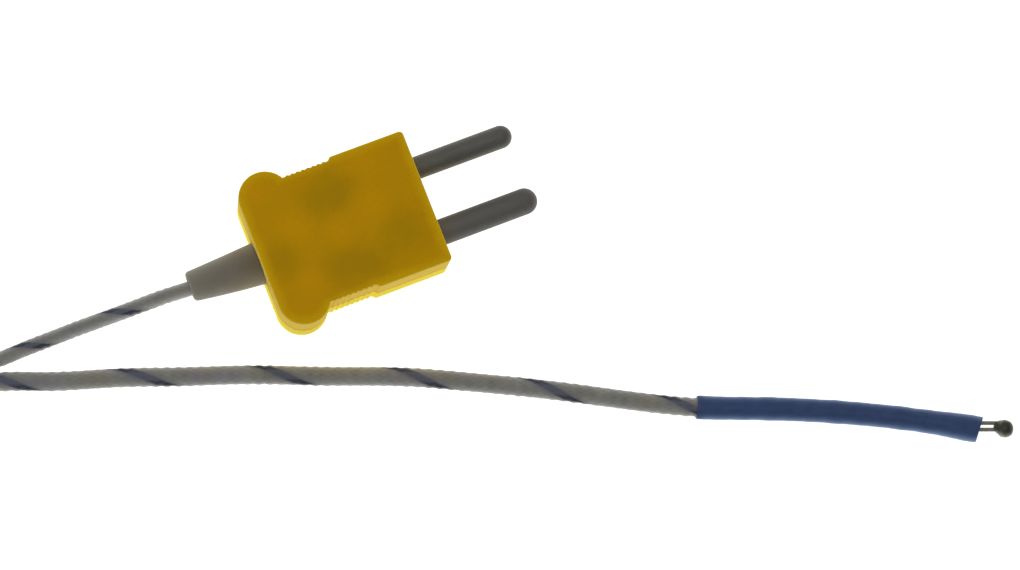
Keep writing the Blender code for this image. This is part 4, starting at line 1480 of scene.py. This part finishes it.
@dataclass
class ProbeTip:
    """Blue shrink sleeve over the cable's end, and the welded measuring junction."""

    route: CableRoute
    length: float = 46.3 * MM
    radius: float = 1.88 * MM
    wall: float = 0.28 * MM
    flatness: float = 0.9
    mouth_flatness: float = 0.97
    mouth_reach: float = 12.0 * MM
    flare: float = 1.15
    flare_length: float = 11.0 * MM
    cut: float = radians(9.5)
    cut_lean: float = radians(12.0)
    cut_reach: float = 6.0 * MM
    overhang: float = 0.1 * MM
    waver: float = 0.6
    soften: float = 0.2
    wire_start: tuple[float, float, float] = (84.28 * MM, -64.91 * MM, 2.12 * MM)
    wire_end: tuple[float, float, float] = (88.73 * MM, -66.6 * MM, 2.05 * MM)
    wire_bow: float = 0.02 * MM
    wire_rise: float = 0.08 * MM
    wire_columns: int = 32
    bead_middle: tuple[float, float, float] = (89.34 * MM, -67.23 * MM, 2.0 * MM)
    wire_radius: float = 0.33 * MM
    wire_spacing: float = 1.03 * MM
    bead_radius: float = 1.475 * MM
    neck: float = 0.27
    neck_place: float = 0.2
    neck_spread: tuple[float, float] = (0.62, 0.38)
    columns: int = 96

    def sleeve(self) -> None:
        """The sleeve as a closed ring of outer skin, slanted mouth and inner skin.

        The outer radius grows in the last millimetres and wavers along and around the
        sleeve, and near the mouth each ring leans to follow the slanted cut.
        """
        curve = self.route.curve()
        total = arc_lengths(curve)[-1]
        at = np.linspace(0.0, self.length, 240)
        path = sampled(curve, total - self.length + at)
        ahead = unit(np.gradient(path, axis=0))
        angle = np.linspace(0.0, tau, self.columns, endpoint=False)[None, :]
        s = (at / MM)[:, None]
        waver = (0.030 * np.sin(0.9 * s + 1.3 * np.sin(angle)) * np.sin(0.31 * s + 1.0)
                 + 0.014 * np.sin(1.7 * s + 2.0 * angle + 0.7)
                 + 0.006 * np.sin(3.7 * s - angle))
        grow = 1.0 + (self.flare - 1.0) * ease(at, self.length - self.flare_length, self.length)
        outer = self.radius * grow[:, None] * (1.0 + waver * self.waver)
        soften = np.zeros((len(at), 1))
        soften[[0, -1], 0] = self.soften * self.wall
        soften[[1, -2], 0] = self.soften / 4 * self.wall
        round_at = ease(at, self.length - self.mouth_reach, self.length)[:, None]
        flat = self.flatness + (self.mouth_flatness - self.flatness) * round_at
        lean = ease(at, self.length - self.cut_reach, self.length)[:, None]
        skins = []
        for radius in (outer - soften, outer - self.wall + soften):
            section = np.stack([radius * np.cos(angle), radius * flat * np.sin(angle)], axis=-1)
            slide = lean * (self.overhang + section[..., 0] * np.tan(self.cut)
                            - section[..., 1] * np.tan(self.cut_lean))
            skins.append(swept(path, section) + slide[..., None] * ahead[:, None, :])
        points = np.concatenate([skins[0], skins[1][::-1]])
        wrap_angle = np.linspace(0.0, 1.0, self.columns + 1)
        turn = np.concatenate([at, at[::-1], at[:1]]) / MM
        uv = np.stack(np.broadcast_arrays(turn[:, None], wrap_angle[None, :]), axis=-1)
        mesh = mesh_from_grid("shrink_sleeve", points, wrap_rows=True, uv=uv, sharp=70.0)
        add_piece(mesh, ShrinkFilm().material("blue_shrink_film"),
                  ["heat_shrink_sleeve"])

    def bead(self, centre: Array, ahead: Array) -> bpy.types.Mesh:
        """A slightly lumpy ball of weld metal, drawn out behind into a flat neck.

        The neck is a smooth lobe, exp(-q^1.5), that the radius gains towards the wires.

        Args:
            centre: Its middle.
            ahead: Level direction away from the wires.

        Returns:
            The mesh.
        """
        polar = np.linspace(0.0, pi, 64)[:, None]
        angle = np.linspace(0.0, tau, 96, endpoint=False)[None, :]
        x, y, z = (np.sin(polar) * np.cos(angle), np.sin(polar) * np.sin(angle),
                   np.cos(polar) * np.ones_like(angle))
        lumps = (0.016 * np.sin(3 * x + 2 * y + 1.0) + 0.012 * np.sin(5 * y - 3 * z)
                 + 0.007 * np.sin(9 * x + 7 * z))
        spread = (((y - self.neck_place) / self.neck_spread[0]) ** 2
                  + (z / self.neck_spread[1]) ** 2)
        lobe = self.neck * ease(-x, 0.1, 0.7) * np.exp(-spread ** 1.5)
        side = np.array([-ahead[1], ahead[0], 0.0])
        up = np.cross(ahead, side)
        radius = self.bead_radius * (0.985 + lumps + lobe)
        points = centre + radius[..., None] * (
            x[..., None] * ahead + y[..., None] * side + z[..., None] * up)
        return mesh_from_grid("bead", points)

    def junction(self) -> None:
        """Two drawn wires that bow a little and run into the neck of one welded bead."""
        start, end = np.array(self.wire_start), np.array(self.wire_end)
        run = unit(end - start)
        side = unit(np.array([-run[1], run[0], 0.0]))
        level = unit(np.array([run[0], run[1], 0.0]))
        share = np.linspace(0.0, 1.0, 40)[:, None]
        arch = np.sin(pi * share)
        angle = np.linspace(0.0, tau, self.wire_columns, endpoint=False)
        circle = self.wire_radius * np.column_stack([np.cos(angle), np.sin(angle)])
        section = np.broadcast_to(circle, (len(share), *circle.shape))
        meshes = []
        for pole in Pole:
            apart = self.wire_spacing / 2 + self.wire_bow * arch
            rise = pole.side * self.wire_rise * arch
            path = start + (end - start) * share + pole.side * side * apart
            path[:, 2:] += rise
            meshes.append(mesh_from_grid(f"wire_{pole.value}", capped(path, swept(path, section))))
        meshes.append(self.bead(np.array(self.bead_middle), level))
        alloy = WeldedAlloy(self.bead_middle).material("oxidised_weld")
        add_piece(joined("welded_junction", meshes), alloy, ["measuring_junction"])

    def build(self) -> None:
        """Sleeve and junction."""
        self.sleeve()
        self.junction()


def dress_inner_nodes() -> None:
    """Finishes of the CAD nodes that are carried over as they are."""
    steel = PlatedSteel().material("plated_steel")
    inside = [f"terminal_{part}_{pole.value}" for part in ("screw", "washer") for pole in Pole]
    for node in ("shell_screw_left", "shell_screw_right", *inside):
        finish_node(node, steel)
    yellow = CoreYarn((0.62, 0.42, 0.05)).material("yellow_core_yarn")
    red = CoreYarn((0.45, 0.05, 0.03)).material("red_core_yarn")
    wire = WeldedAlloy((0.0, 0.0, -1.0), wire=(0.3, 0.29, 0.26)).material("drawn_wire")
    for pole, yarn in zip(Pole, (yellow, red)):
        finish_node(f"core_{pole.value}", yarn)
        finish_node(f"tip_core_{pole.value}", yarn)
        finish_node(f"conductor_{pole.value}", wire)
    finish_node("coil_tie", TieNylon().material("black_nylon"))


@dataclass
class Studio:
    """Pale light table, soft lamps from above and the photograph's camera."""

    azimuth: float = radians(-54.09)
    elevation: float = radians(79.3609)
    roll: float = radians(32.9368)
    target: tuple[float, float, float] = (22.9591 * MM, -16.6267 * MM, 0.0)
    distance: float = 502.6281 * MM
    lens: float = 110.0
    sensor: float = 36.0
    floor_size: float = 3.0
    floor_drop: float = 0.02 * MM
    floor_glow: float = 1.02
    world_grey: float = 0.22
    overhead: tuple[float, float, float] = (-0.1, 0.02, 0.73)
    overhead_size: float = 0.5
    overhead_power: float = 1.1
    side: tuple[float, float, float] = (0.25, 0.5, 0.5)
    side_size: float = 0.3
    side_power: float = 0.385

    def camera(self) -> None:
        """A camera at the fitted place, turned about its own axis by the fitted roll."""
        back = Vector((sin(self.azimuth) * cos(self.elevation),
                       -cos(self.azimuth) * cos(self.elevation), sin(self.elevation)))
        right = Vector((0.0, 0.0, 1.0)).cross(back).normalized()
        top = back.cross(right)
        turned_right = right * cos(self.roll) + top * sin(self.roll)
        turned_top = top * cos(self.roll) - right * sin(self.roll)
        data = bpy.data.cameras.new("photo_camera")
        data.lens = self.lens
        data.sensor_width = self.sensor
        data.sensor_fit = "HORIZONTAL"
        data.clip_start = 0.01
        camera = bpy.data.objects.new("photo_camera", data)
        place = Vector(self.target) + back * self.distance
        turn = Matrix((turned_right, turned_top, back)).transposed().to_4x4()
        camera.matrix_world = Matrix.Translation(place) @ turn
        bpy.context.scene.collection.objects.link(camera)
        bpy.context.scene.camera = camera

    def floor(self) -> None:
        """The light table: a wide plane with a soft even glow."""
        half = self.floor_size / 2
        x, y = np.meshgrid([-half, half], [-half, half], indexing="xy")
        points = np.stack([x, y, np.full_like(x, -self.floor_drop)], axis=-1)
        mesh = bpy.data.meshes.new("light_table")
        mesh.from_pydata(points.reshape(-1, 3).tolist(), [], [(0, 1, 3, 2)])
        bench = Bench("light_table_glass")
        material = bench.surface(Base_Color=(0.5, 0.5, 0.5), Roughness=0.9,
                                 Emission_Color=(1.0, 1.0, 1.0),
                                 Emission_Strength=self.floor_glow, Specular_IOR_Level=0.0)
        mesh.materials.append(material)
        table = bpy.data.objects.new("light_table", mesh)
        bpy.context.scene.collection.objects.link(table)

    def lamp(self, name: str, place: Sequence[float], size: float, power: float) -> None:
        """A square soft lamp aimed at the target.

        Args:
            name: Name of the lamp.
            place: Where it stands, in metres.
            size: Its side, in metres.
            power: Its power, in watts.
        """
        data = bpy.data.lights.new(name, "AREA")
        data.size = size
        data.energy = power
        lamp = bpy.data.objects.new(name, data)
        lamp.location = place
        aim = Vector(self.target) - Vector(place)
        lamp.rotation_euler = aim.to_track_quat("-Z", "Y").to_euler()
        bpy.context.scene.collection.objects.link(lamp)

    def build(self) -> None:
        """Camera, table, lamps, world and a plain tone curve."""
        self.camera()
        self.floor()
        self.lamp("soft_overhead", self.overhead, self.overhead_size, self.overhead_power)
        self.lamp("soft_side", self.side, self.side_size, self.side_power)
        world = bpy.data.worlds.new("grey_room")
        world.use_nodes = True
        sky = world.node_tree.nodes["Background"].inputs
        sky["Color"].default_value = (self.world_grey, self.world_grey, self.world_grey, 1.0)
        sky["Strength"].default_value = 1.0
        bpy.context.scene.world = world
        bpy.context.scene.view_settings.view_transform = "Standard"


def main() -> None:
    """Build the studio and every piece in order."""
    logging.basicConfig(level=logging.INFO, format="%(message)s")
    Studio().build()
    route = CableRoute()
    BraidedCable(route).build()
    PlugShells().build()
    ContactPins().build()
    StrainBoot().build()
    ProbeTip(route).build()
    dress_inner_nodes()


if __name__ == "__main__":
    main()
